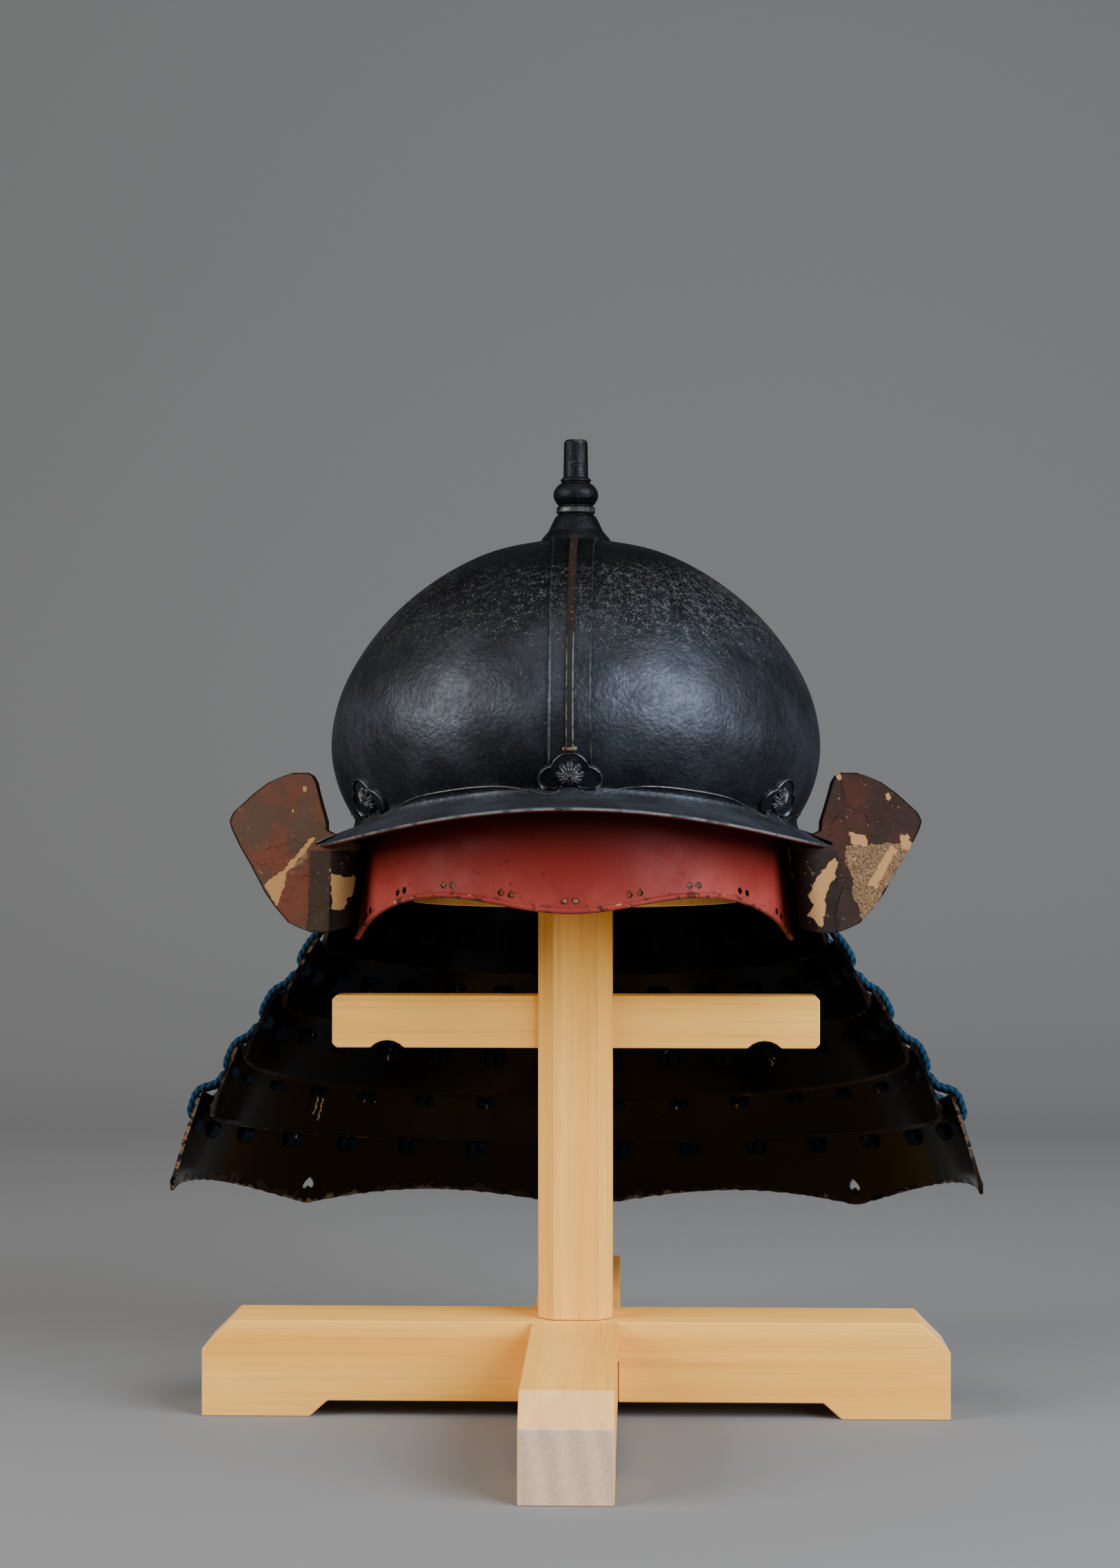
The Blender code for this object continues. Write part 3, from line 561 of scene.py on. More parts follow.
@dataclass
class Recipe:
    """The nodes of one material or one node group, written as plain calls."""

    tree: bpy.types.NodeTree
    spot: Socket | None = None

    def put(self, kind: str, settings: dict, inputs: dict) -> bpy.types.Node:
        """Add a node.

        Args:
            kind: Its type's name.
            settings: Its own settings.
            inputs: Values or links for its inputs.

        Returns:
            The node.
        """
        node = self.tree.nodes.new(kind)
        for key, value in settings.items():
            setattr(node, key, value)
        for key, value in inputs.items():
            self.feed(node.inputs[key], value)
        return node

    def feed(self, socket: Socket, value: Value | Row) -> None:
        """Link a socket to an input, or set a plain value on it."""
        if isinstance(value, Socket):
            self.tree.links.new(value, socket)
        else:
            socket.default_value = (*value[:3], 1.0) if socket.type == "RGBA" else value

    def point(self) -> Socket:
        """The place on the object, in metres."""
        if self.spot is None:
            self.spot = self.put("ShaderNodeTexCoord", {}, {}).outputs["Object"]
        return self.spot

    def stretched(self, scale: tuple[float, float, float]) -> Socket:
        """The place on the object, scaled differently along each axis."""
        return self.put("ShaderNodeMapping", {}, {"Vector": self.point(), "Scale": scale}).outputs[0]

    def part(self, axis: Axis) -> Socket:
        """One coordinate of the place on the object."""
        return self.put("ShaderNodeSeparateXYZ", {}, {0: self.point()}).outputs[axis.value]

    def noise(self, scale: Value, detail: float = 2, vector: Socket | None = None,
              rough: float = 0.5) -> Socket:
        """Soft noise from 0 to 1.

        Args:
            scale: Waves in a metre, or in the vector's own unit.
            detail: How many finer layers are added.
            vector: Where it is read, the object's own place if none.
            rough: How strong the finer layers are.

        Returns:
            The value.
        """
        inputs = {"Vector": vector or self.point(), "Scale": scale, "Detail": detail, "Roughness": rough}
        return self.put("ShaderNodeTexNoise", {}, inputs).outputs[0]

    def cells(self, scale: float, vector: Socket) -> Socket:
        """Distance to the edge of scattered cells."""
        inputs = {"Vector": vector, "Scale": scale}
        return self.put("ShaderNodeTexVoronoi", {"feature": "DISTANCE_TO_EDGE"}, inputs).outputs["Distance"]

    def math(self, operation: str, *values: Value) -> Socket:
        """Values put through one of Blender's operations."""
        return self.put("ShaderNodeMath", {"operation": operation}, dict(enumerate(values))).outputs[0]

    def sum(self, first: Value, second: Value) -> Socket:
        """Two values added."""
        return self.math("ADD", first, second)

    def times(self, first: Value, second: Value) -> Socket:
        """Two values multiplied."""
        return self.math("MULTIPLY", first, second)

    def most(self, first: Value, second: Value) -> Socket:
        """The larger of two values."""
        return self.math("MAXIMUM", first, second)

    def rise(self, value: Value, low: float, high: float, start: float = 0.0, stop: float = 1.0) -> Socket:
        """A smooth step: start where the value is under low, stop where it is over high."""
        inputs = {"Value": value, "From Min": low, "From Max": high, "To Min": start, "To Max": stop}
        return self.put("ShaderNodeMapRange", {"interpolation_type": "SMOOTHSTEP"}, inputs).outputs[0]

    def cloud(self, scale: float, detail: float, low: float, high: float, start: float = 0.0,
              stop: float = 1.0, rough: float = 0.5) -> Socket:
        """Soft noise read through a smooth step."""
        return self.rise(self.noise(scale, detail, rough=rough), low, high, start, stop)

    def mark(self, name: str) -> Socket:
        """A value that the mesh carries on its points."""
        return self.put("ShaderNodeAttribute", {"attribute_name": name}, {}).outputs["Fac"]

    def tint(self, share: Value, low: Colour | Socket, high: Colour | Socket) -> Socket:
        """The colour a share of the way from low to high."""
        return self.put("ShaderNodeMix", {"data_type": "RGBA"}, {0: share, 6: low, 7: high}).outputs[2]

    def coat(self, under: Socket, share: Value, strength: float, colour: Colour | Socket) -> Socket:
        """A colour laid over another, a share of this strength."""
        return self.tint(self.times(share, strength), under, colour)

    def bump(self, height: Socket, depth: float, onto: Socket | None = None, strength: float = 1.0) -> Socket:
        """A surface whose heights run from 0 to this depth in metres, on top of another."""
        inputs = {"Height": height, "Distance": depth, "Strength": strength}
        if onto is not None:
            inputs["Normal"] = onto
        return self.put("ShaderNodeBump", {}, inputs).outputs[0]

    def use(self, group: bpy.types.NodeTree, **inputs: Value) -> Socket:
        """The first output of a shared node group."""
        node = self.tree.nodes.new("ShaderNodeGroup")
        node.node_tree = group
        for key, value in {"vector": self.point(), **inputs}.items():
            self.feed(node.inputs[key.title()], value)
        return node.outputs[0]


class Effects:
    """Node groups that several finishes share."""

    def __init__(self) -> None:
        """Make the groups."""
        self.specks = self.make_specks()
        self.wear = self.make_wear()

    @staticmethod
    def start(name: str, *inputs: str) -> tuple[Recipe, dict, Socket]:
        """Open a new group.

        Args:
            name: Its name.
            inputs: Its inputs, all of them plain numbers but the first, a vector.

        Returns:
            The recipe to fill, the inputs' sockets by name, and the output's socket.
        """
        group = bpy.data.node_groups.new(name, "ShaderNodeTree")
        for label in inputs:
            kind = "NodeSocketVector" if label == inputs[0] else "NodeSocketFloat"
            group.interface.new_socket(name=label, in_out="INPUT", socket_type=kind)
        group.interface.new_socket(name="Mask", in_out="OUTPUT", socket_type="NodeSocketFloat")
        recipe = Recipe(group)
        given = recipe.put("NodeGroupInput", {}, {}).outputs
        return recipe, given, recipe.put("NodeGroupOutput", {}, {}).inputs[0]

    def make_specks(self) -> bpy.types.NodeTree:
        """Fine specks that gather in clumps: sharp noise, thinned by the amount and by coarse noise."""
        recipe, given, end = self.start("Clumped specks", "Vector", "Scale", "Amount")
        fine = recipe.noise(given["Scale"], 3, given["Vector"], 0.65)
        coarse = recipe.noise(recipe.times(given["Scale"], 0.22), 2, given["Vector"])
        level = recipe.sum(recipe.times(fine, 0.72), recipe.times(coarse, 0.28))
        level = recipe.sum(level, recipe.times(given["Amount"], 0.14))
        recipe.feed(end, recipe.rise(level, 0.63, 0.67))
        return recipe.tree

    def make_wear(self) -> bpy.types.NodeTree:
        """Wear that starts from an edge: full where the distance, ruffled by noise, is under the reach."""
        recipe, given, end = self.start("Edge wear", "Vector", "Scale", "Distance", "Reach")
        ragged = recipe.noise(given["Scale"], 4, given["Vector"], 0.6)
        reach = recipe.times(given["Reach"], recipe.rise(ragged, 0.44, 0.70))
        gap = recipe.sum(reach, recipe.times(given["Distance"], -1.0))
        recipe.feed(end, recipe.rise(gap, 0.0, 0.00025))
        return recipe.tree


@dataclass(frozen=True)
class Finish:
    """What every finish has: its name and the shared effects."""

    name: str
    effects: Effects

    def paint(self, recipe: Recipe) -> dict[str, Value]:
        """What goes into the shader.

        Args:
            recipe: Where the finish's nodes are made.

        Returns:
            A number or a socket for each input, by its name with underscores for spaces.
        """
        raise NotImplementedError

    def make(self) -> Look:
        """The material, with numbers set on the shader's inputs and sockets linked to them.

        Returns:
            The new material.
        """
        material = bpy.data.materials.new(self.name)
        material.use_nodes = True
        recipe = Recipe(material.node_tree)
        shader = material.node_tree.nodes["Principled BSDF"]
        for key, value in self.paint(recipe).items():
            recipe.feed(shader.inputs[key.replace("_", " ")], value)
        return material


@dataclass(frozen=True)
class BlackIron(Finish):
    """Near-black hammered iron: grey specks in a band below the crown, rust at its left, pale metal on worn
    edges and painted highlight lines along raised lines and the brim's edge.
    """

    dark: Colour = shade("2a2c30")
    mottle: Colour = shade("3e4148")
    crown: Colour = shade("0e0e0e")
    speck: Colour = shade("7c7d7e")
    rust: Colour = shade("4a2e25")
    bare: Colour = shade("8d8c8a")
    red: Colour = shade("6e2119")
    band_top: float = 0.390
    band_low: float = 0.339
    dent_scale: float = 130
    grain_scale: float = 520

    def paint(self, recipe: Recipe) -> dict[str, Value]:
        """The sockets, from the marks scuff on the brim's top, bare on worn edges and painted highlight
        lines, and red under the brim.
        """
        height = recipe.part(Axis.Z)
        band = recipe.times(recipe.rise(height, self.band_low, self.band_low + 0.034),
                            recipe.rise(height, self.band_top, self.band_top + 0.012, 1.0, 0.25))
        side = recipe.rise(recipe.part(Axis.X), -0.06, 0.05, 0.55, 1.0)
        dense = recipe.times(band, side)
        light = recipe.use(self.effects.specks, scale=1450, amount=recipe.times(dense, 0.70))
        light = recipe.times(light, recipe.rise(dense, 0.0, 0.5))
        few = recipe.use(self.effects.specks, scale=460, amount=0.10)
        left = recipe.rise(recipe.part(Axis.X), -0.095, 0.0, 1.0, 0.12)
        rusty = recipe.times(recipe.use(self.effects.specks, scale=540, amount=0.40),
                             recipe.times(left, band))
        colour = recipe.tint(recipe.cloud(34, 4, 0.35, 0.70), self.dark, self.mottle)
        colour = recipe.tint(recipe.rise(height, self.band_low, self.band_top, 0.0, 0.8), colour, self.crown)
        colour = recipe.coat(colour, few, 0.10, self.speck)
        colour = recipe.coat(colour, rusty, 0.7, self.rust)
        colour = recipe.coat(colour, light, 0.50, self.speck)
        scuffs = recipe.times(recipe.mark("scuff"), recipe.cloud(260, 5, 0.42, 0.66, rough=0.7))
        colour = recipe.coat(colour, scuffs, 0.07, self.speck)
        colour = recipe.coat(colour, recipe.mark("scuff"), 0.55, self.crown)
        # Pale metal on edges and raised lines: partly real wear, partly painted highlight.
        worn = recipe.times(recipe.mark("bare"), recipe.cloud(120, 5, 0.30, 0.52))
        colour = recipe.tint(worn, colour, self.bare)
        colour = recipe.tint(recipe.mark("red"), colour, self.red)
        rough = recipe.cloud(300, 4, 0.30, 0.75, 0.42, 0.55)
        rough = recipe.sum(rough, recipe.times(recipe.most(light, rusty), 0.25))
        dents = recipe.bump(recipe.noise(self.dent_scale, 1.0), 0.0007, strength=0.6)
        fine = recipe.bump(recipe.noise(self.grain_scale, 3, rough=0.5), 0.0005, dents, 0.75)
        pits = recipe.bump(recipe.cloud(900, 2, 0.60, 0.72), -0.0002, fine, 0.5)
        rough = recipe.sum(rough, recipe.times(recipe.mark("scuff"), 0.2))
        glance = recipe.tint(recipe.mark("scuff"), (0.45, 0.45, 0.45), (0.06, 0.06, 0.06))
        metal, shine = (recipe.rise(recipe.mark("scuff"), 0.0, 0.8, *ends)
                        for ends in ((0.85, 0.12), (0.4, 0.0)))
        return dict(Base_Color=colour, Roughness=rough, Normal=pits, Specular_Tint=glance, Metallic=metal,
                    Specular_IOR_Level=shine)


@dataclass(frozen=True)
class RustedIron(Finish):
    """Rough iron with rust-red specks where the mark rust is 1, dark elsewhere, its edges worn bare and
    painted with highlight lines.
    """

    dark: Colour = shade("1c1a1a")
    rust: Colour = shade("1c120f")
    pale: Colour = shade("6e4234")
    bare: Colour = shade("9c9a96")

    def paint(self, recipe: Recipe) -> dict[str, Value]:
        """The sockets."""
        spots = recipe.cloud(500, 4, 0.42, 0.60, rough=0.65)
        pale = recipe.cloud(900, 3, 0.56, 0.64)
        red = recipe.tint(recipe.times(pale, 0.7), self.rust, self.pale)
        # Pale metal on the rib's upper corners: partly real wear, partly painted highlight.
        worn = recipe.times(recipe.mark("bare"), recipe.cloud(260, 4, 0.35, 0.60))
        colour = recipe.tint(worn, self.dark, self.bare)
        colour = recipe.tint(recipe.mark("rust"), colour, recipe.tint(spots, self.rust, red))
        surface = recipe.bump(recipe.noise(1100, 4), 0.0004, strength=0.6)
        return dict(Metallic=0.35, Roughness=0.6, Specular_IOR_Level=0.2, Base_Color=colour, Normal=surface)


@dataclass(frozen=True)
class DullBrass(Finish):
    """Aged brass, brown in its hollows."""

    light: Colour = shade("86745f")
    brown: Colour = shade("4a3a2e")

    def paint(self, recipe: Recipe) -> dict[str, Value]:
        """The sockets."""
        colour = recipe.tint(recipe.cloud(350, 2, 0.30, 0.55), self.brown, self.light)
        surface = recipe.bump(recipe.noise(1400, 3), 0.0002, strength=0.4)
        return dict(Metallic=0.7, Roughness=0.45, Base_Color=colour, Normal=surface)


@dataclass(frozen=True)
class RedLacquer(Finish):
    """Old red lacquer: painted shade of the brim darkens its top and painted light pales its foot, with fine
    pale scratches and brown chips along its bead.
    """

    deep: Colour = shade("2a0b0a")
    red: Colour = shade("72201b")
    pink: Colour = shade("8e3d35")
    chip: Colour = shade("3c2017")
    tan: Colour = shade("b08a5c")

    def paint(self, recipe: Recipe) -> dict[str, Value]:
        """The sockets; fall runs from 0 at the top to 1 at the foot, and bead is 1 on the bead."""
        fall = recipe.sum(recipe.mark("fall"), recipe.times(recipe.noise(22, 3), 0.25))
        # Painted shadow of the brim: deep red at the top, fading to plain red by the middle.
        colour = recipe.tint(recipe.rise(fall, 0.22, 0.78), self.deep, self.red)
        cloud = recipe.cloud(30, 4, 0.40, 0.75)
        # Painted light: pinker toward the foot, below the brim's shadow.
        foot = recipe.times(recipe.rise(fall, 0.62, 1.18), recipe.sum(cloud, 0.25))
        colour = recipe.tint(foot, colour, self.pink)
        lines = recipe.rise(recipe.noise(60, 3, recipe.stretched((1.0, 1.0, 9)), 0.7), 0.66, 0.70)
        cross = recipe.rise(recipe.noise(48, 3, recipe.stretched((9, 3, 1.0)), 0.7), 0.67, 0.71)
        scratches = recipe.times(recipe.most(lines, cross), recipe.cloud(45, 2, 0.45, 0.62))
        colour = recipe.coat(colour, scratches, 0.35, self.pink)
        specks = recipe.use(self.effects.specks, scale=500, amount=0.12)
        colour = recipe.coat(colour, specks, 0.5, self.deep)
        chips = recipe.times(recipe.mark("bead"), recipe.cloud(170, 5, 0.56, 0.60, rough=0.65))
        colour = recipe.coat(colour, chips, 0.9, self.chip)
        tan = recipe.times(recipe.mark("bead"), recipe.cloud(330, 4, 0.67, 0.70, rough=0.6))
        colour = recipe.tint(tan, colour, self.tan)
        rough = recipe.cloud(90, 4, 0.3, 0.7, 0.42, 0.58)
        wavy = recipe.bump(recipe.noise(60, 2), 0.0006, strength=0.25)
        fine = recipe.bump(recipe.noise(700, 3), 0.00015, wavy, 0.25)
        broken = recipe.bump(chips, -0.0004, fine, 0.6)
        return dict(Metallic=0.0, Specular_IOR_Level=0.08, Base_Color=colour, Roughness=rough,
                    Normal=broken)


@dataclass(frozen=True)
class BlackLacquer(Finish):
    """Glossy black lacquer, worn to brown and then to gold along its free edges."""

    black: Colour = shade("070605")
    brown: Colour = shade("281b15")
    grey: Colour = shade("45403a")
    gold: Colour = shade("74573a")

    def paint(self, recipe: Recipe) -> dict[str, Value]:
        """The sockets; edge is the distance in metres from a worn edge and age how strong its wear is."""
        smudge = recipe.cloud(26, 3, 0.45, 0.80, rough=0.55)
        colour = recipe.tint(recipe.times(smudge, 0.03), self.black, self.brown)
        edge = recipe.mark("edge")
        age = recipe.mark("age")
        reach = recipe.times(age, 0.0065)
        brown = recipe.use(self.effects.wear, scale=95, distance=edge, reach=reach)
        colour = recipe.coat(colour, brown, 0.85, self.brown)
        gold = recipe.use(self.effects.wear, scale=240, distance=edge,
                          reach=recipe.times(recipe.times(age, recipe.cloud(28, 2, 0.45, 0.60)), 0.0045))
        metal = recipe.tint(recipe.cloud(420, 3, 0.40, 0.60), self.grey, self.gold)
        colour = recipe.coat(colour, gold, 0.9, metal)
        specks = recipe.use(self.effects.specks, scale=300, amount=0.06)
        colour = recipe.coat(colour, specks, 0.25, self.brown)
        rough = recipe.sum(recipe.cloud(40, 4, 0.3, 0.8, 0.16, 0.32), recipe.times(brown, 0.3))
        wavy = recipe.bump(recipe.noise(38, 2), 0.0008, strength=0.3)
        broken = recipe.bump(recipe.most(brown, gold), -0.0002, wavy, 0.6)
        return dict(Metallic=0.0, Specular_IOR_Level=0.09, Coat_Weight=0.02, Coat_Roughness=0.10,
                    Base_Color=colour, Roughness=rough, Normal=broken)


@dataclass(frozen=True)
class Leather(Finish):
    """Lacquered leather in brown panels, cracked between them and flaked off down to tan hide."""

    brown: Colour = shade("443328")
    blotch: Colour = shade("5e3023")
    panel: Colour = shade("33271f")
    hollow: Colour = shade("1a110e")
    rim: Colour = shade("0f0b0a")
    hide: Colour = shade("9c7347")
    raw: Colour = shade("806549")
    raw_dark: Colour = shade("3a281c")

    def paint(self, recipe: Recipe) -> dict[str, Value]:
        """The sockets, from the marks panel, flake, rough_patch, crack and border, most in metres."""
        warp = recipe.times(recipe.sum(recipe.noise(260, 4, rough=0.6), -0.5), 0.0042)
        blot = recipe.cloud(42, 4, 0.42, 0.66, rough=0.55)
        colour = recipe.tint(recipe.times(blot, 0.85), self.brown, self.blotch)
        colour = recipe.tint(recipe.rise(recipe.mark("panel"), 0.25, 0.75), colour, self.panel)
        colour = recipe.tint(recipe.rise(recipe.mark("panel"), 1.25, 1.75), colour, self.hollow)
        dirt = recipe.use(self.effects.specks, scale=420, amount=0.16)
        colour = recipe.coat(colour, dirt, 0.35, self.raw)
        web = recipe.cells(85, recipe.stretched((1.0, 1.0, 1.9)))
        near = recipe.rise(recipe.mark("crack"), 0.0005, 0.0045, 1.0, 0.0)
        web = recipe.times(recipe.rise(web, 0.006, 0.028, 1.0, 0.0), near)
        line = recipe.rise(recipe.sum(recipe.mark("crack"), recipe.times(warp, 0.12)), 0.0, 0.00035, 1.0, 0.0)
        cracks = recipe.most(recipe.times(web, 0.4), line)
        colour = recipe.coat(colour, cracks, 0.8, self.rim)
        border = recipe.sum(recipe.mark("border"), recipe.times(warp, 0.20))
        border = recipe.rise(border, 0.0009, 0.0016, 1.0, 0.0)
        colour = recipe.coat(colour, border, 0.9, self.rim)
        patch = recipe.rise(recipe.sum(recipe.mark("rough_patch"), warp), -0.0002, 0.0002, 1.0, 0.0)
        grit = recipe.cloud(1000, 5, 0.34, 0.66, rough=0.75)
        colour = recipe.tint(patch, colour, recipe.tint(grit, self.raw_dark, self.raw))
        flake = recipe.rise(recipe.sum(recipe.mark("flake"), warp), -0.0002, 0.0002, 1.0, 0.0)
        hide = recipe.tint(recipe.times(grit, 0.45), self.hide, self.raw)
        colour = recipe.tint(flake, colour, hide)
        lost = recipe.most(flake, patch)
        rough = recipe.sum(recipe.cloud(70, 3, 0.3, 0.7, 0.50, 0.64), recipe.times(lost, 0.30))
        wavy = recipe.bump(recipe.noise(70, 3), 0.0008, strength=0.35)
        fine = recipe.bump(recipe.noise(640, 4), 0.00025, wavy, 0.45)
        split = recipe.bump(cracks, -0.0003, fine, 0.7)
        chipped = recipe.bump(lost, -0.0006, split, 0.9)
        return dict(Metallic=0.0, Specular_IOR_Level=0.03, Base_Color=colour, Roughness=rough,
                    Normal=chipped)


@dataclass(frozen=True)
class BlueCord(Finish):
    """Dark blue braided silk, with painted shade in the grooves between its strands and on the cord inside
    the guard.
    """

    blue: Colour = shade("103853")
    deep: Colour = shade("060d15")
    faded: Colour = shade("285672")

    def paint(self, recipe: Recipe) -> dict[str, Value]:
        """The sockets; strand is 1 on top of a strand and 0 in the groove beside it, and lower still inside
        the guard; where it is low the deep colour paints shade.
        """
        # Painted shade: the deep colour fills the grooves and the dimmed cord inside the guard.
        colour = recipe.tint(recipe.mark("strand"), self.deep, self.blue)
        fade = recipe.cloud(60, 3, 0.50, 0.75)
        colour = recipe.tint(recipe.times(fade, recipe.times(recipe.mark("strand"), 0.4)), colour, self.faded)
        threads = recipe.bump(recipe.noise(2600, 3), 0.0002, strength=0.5)
        return dict(Metallic=0.0, Roughness=0.75, Specular_IOR_Level=0.1, Base_Color=colour, Normal=threads)


@dataclass(frozen=True)
class TanKnot(Finish):
    """Pale twisted thread and worn plug ends."""

    tan: Colour = shade("c9b488")
    brown: Colour = shade("4a3624")

    def paint(self, recipe: Recipe) -> dict[str, Value]:
        """The sockets."""
        colour = recipe.tint(recipe.cloud(900, 3, 0.35, 0.65), self.brown, self.tan)
        surface = recipe.bump(recipe.noise(2200, 2), 0.0003, strength=0.6)
        return dict(Metallic=0.0, Roughness=0.8, Base_Color=colour, Normal=surface)


@dataclass(frozen=True)
class PaleWood(Finish):
    """Planed pale softwood with straight grain along one axis and rings on its ends, and on the upright
    pieces a thin painted shade line along each flat's edges.
    """

    grain: Axis = Axis.X
    light: Colour = shade("fabc58")
    honey: Colour = shade("eea742")
    line: Colour = shade("bb7a35")
    end_light: Colour = shade("d8b79a")
    end_dark: Colour = shade("b8967c")
    groove: float = 0.0105

    def paint(self, recipe: Recipe) -> dict[str, Value]:
        """The sockets."""
        slow = 0.02
        scale = [1.0, 1.0, 1.0]
        scale[self.grain.value] = slow
        along = recipe.stretched(tuple(scale))
        broad = recipe.noise(60, 3, along, 0.55)
        fine = recipe.noise(420, 4, along, 0.65)
        pores = recipe.noise(1500, 3, along, 0.6)
        colour = recipe.tint(recipe.rise(broad, 0.30, 0.70), self.light, self.honey)
        colour = recipe.coat(colour, recipe.rise(fine, 0.48, 0.72), 0.30, self.line)
        colour = recipe.coat(colour, recipe.rise(pores, 0.58, 0.70), 0.25, self.line)
        facing = recipe.put("ShaderNodeNewGeometry", {}, {}).outputs["True Normal"]
        facing = recipe.put("ShaderNodeSeparateXYZ", {}, {0: facing}).outputs[self.grain.value]
        end = recipe.rise(recipe.math("ABSOLUTE", facing), 0.55, 0.92)
        tilt = recipe.put("ShaderNodeMapping", {}, {"Vector": recipe.point(), "Rotation": (0.12, 0.12, 0.0)})
        across = "Y" if self.grain is Axis.X else "X"
        rings = recipe.put("ShaderNodeTexWave", {"wave_type": "BANDS", "bands_direction": across},
                           {"Vector": tilt.outputs[0], "Scale": 27, "Distortion": 4, "Detail": 2,
                            "Detail Scale": 0.7}).outputs["Fac"]
        grit = recipe.cloud(1300, 3, 0.35, 0.70, 0.0, 0.35)
        ringed = recipe.tint(recipe.sum(recipe.times(rings, 0.45), grit), self.end_light, self.end_dark)
        # Painted shade: a thin dark line where each flat meets its chamfer, standing in for the shadow of a
        # small step.
        if self.grain is Axis.Z:
            for axis in (Axis.X, Axis.Y):
                gap = recipe.math("COMPARE", recipe.math("ABSOLUTE", recipe.part(axis)), self.groove, 0.00035)
                colour = recipe.coat(colour, gap, 0.35, self.line)
        colour = recipe.tint(end, colour, ringed)
        lines = recipe.bump(recipe.sum(fine, pores), 0.00018, strength=0.35)
        return dict(Metallic=0.0, Specular_IOR_Level=0.3, Base_Color=colour, Normal=lines,
                    Roughness=recipe.rise(fine, 0.3, 0.7, 0.46, 0.60))


@dataclass
class Bowl:
    """The one-piece bowl with its collar, brim and rear lip, and the raised swags round its foot."""

    form: BowlForm
    columns: int = 320
    edge: float = 0.0020
    swag_width: float = 0.0007
    swag_height: float = 0.0006
    swags: int = 6
    swag_stops: tuple[Row, ...] = (
        # aside, climb
        (0.0068, 0.0002), (0.0052, -0.0008), (0.0053, -0.0022), (0.0068, -0.0034), (0.0100, -0.0038),
        (0.0145, -0.0028), (0.0190, -0.0013), (0.0270, 0.0011), (0.0380, 0.0026), (0.0550, 0.0030),
    )

    def shell(self) -> Body:
        """The shell, from the crown down the outside, round the brim's edge and up the inside.

        The brim falls by its run to the power 1.34, its edge is half a circle, and the inside follows
        the outside one wall further in.

        Returns:
            The object, with the marks scuff, bare and red; bare paints worn metal and a highlight line along
            the brim's edge.
        """
        form = self.form
        azimuth = circle(self.columns)
        share = np.linspace(0.0, 1.0, 110)[:, None]
        width, height = form.dome(azimuth, share)[:2]
        outside = form.on_oval(azimuth, width, 0.0, height)
        low, reach, drop = form.base(azimuth), form.reach(azimuth), form.drop(azimuth)
        step, fall = form.skirt(azimuth, np.linspace(0.0, 1.0, 12)[1:-1, None])[:2]
        collar = form.on_oval(azimuth, form.neck, step, low + form.collar_height - fall)
        run = np.linspace(0.0, 1.0, 22)[:, None]
        radius = self.edge / 2
        start = form.skirt(azimuth, 1.0)[0]
        brim = form.on_oval(azimuth, form.neck, mix(start, reach - radius, run), low - drop * run ** 1.34)
        curl = np.linspace(math.pi / 2, -math.pi / 2, 9)[1:-1, None]
        middle = low - drop - radius
        edge = form.on_oval(azimuth, form.neck, reach - radius + radius * np.cos(curl),
                            middle + radius * np.sin(curl))
        back = run[::-1]
        wall = mix(form.wall, self.edge, back)
        under = form.on_oval(azimuth, form.neck, mix(-form.wall, reach - radius, back),
                             low - drop * back ** 1.34 - wall)
        share = np.linspace(1.0, 0.0, 50)[:, None]
        width, height, out, up = form.dome(azimuth, share)
        inside = form.on_oval(azimuth, width, -form.wall * out, height - form.wall * up)
        parts = (outside, collar, brim, edge, under, inside)
        zeros = [np.zeros(len(part)) for part in parts]
        brim_top = np.concatenate((zeros[0], np.linspace(0.1, 0.6, len(collar)),
                                   np.linspace(0.6, 1.0, len(brim)), zeros[3] + 0.6, *zeros[4:]))
        near_edge = np.concatenate((*zeros[:3], (0.0, 0.1, 0.4, 0.8, 0.5, 0.1, 0.0), *zeros[4:]))
        red = np.concatenate((*zeros[:3], zeros[3][2:], (1.0, 1.0), peak(1 - back[:, 0], 0.09), zeros[5]))
        brim_here = form.brim_share(azimuth)
        # Painted highlight, mixed with wear: a thin pale line along the brim's rolled edge, faded out toward
        # the brim's ends.
        worn = 1 - ease((np.abs(wrapped(azimuth)) - 0.8) / 0.4)
        marks = {"scuff": brim_top[:, None], "bare": near_edge[:, None] * worn * 0.7,
                 "red": red[:, None] * brim_here}
        return Skin("helmet_bowl").add(np.concatenate(parts), **marks).build()

    def swag_lines(self) -> Body:
        """Thin raised lines that rise between the medallions and end in a hook at each, made pale along their
        length as a painted highlight.

        A line's middle is a natural cubic curve through its stops, which lie aside of one medallion and
        up from the collar, and through the same stops mirrored at the next medallion.
        """
        skin = Skin("helmet_swags")
        pitch = 2 * math.pi / self.swags
        girth = self.form.half_width * 0.92
        near = np.array(self.swag_stops)
        far = np.stack((pitch * girth - near[:-1][::-1, 0], near[:-1][::-1, 1]), axis=1)
        stops = np.concatenate((near, far))
        stops[len(near) - 1, 0] = pitch * girth / 2
        length = path_length(stops)
        at = np.linspace(0.0, length[-1], 190)
        aside, climb = (spline(length, stops[:, column], at) for column in (0, 1))
        run, rise = np.gradient(aside), np.gradient(climb)
        size = np.hypot(run, rise)
        wide, lift = self.swag_width / 2 * np.cos(circle(10)), self.swag_height * np.sin(circle(10))
        for number in range(self.swags):
            turn = number * pitch + (aside[:, None] - (rise / size)[:, None] * wide) / girth
            points = self.form.on_dome(turn, climb[:, None] + (run / size)[:, None] * wide, lift)
            # Painted highlight: the raised line is made pale all along.
            skin.add(points, bare=0.42)
        return skin.build()

    def dress(self, iron: Look) -> None:
        """Build both pieces in black iron."""
        place(self.shell(), iron, ("bowl",))
        place(self.swag_lines(), iron)


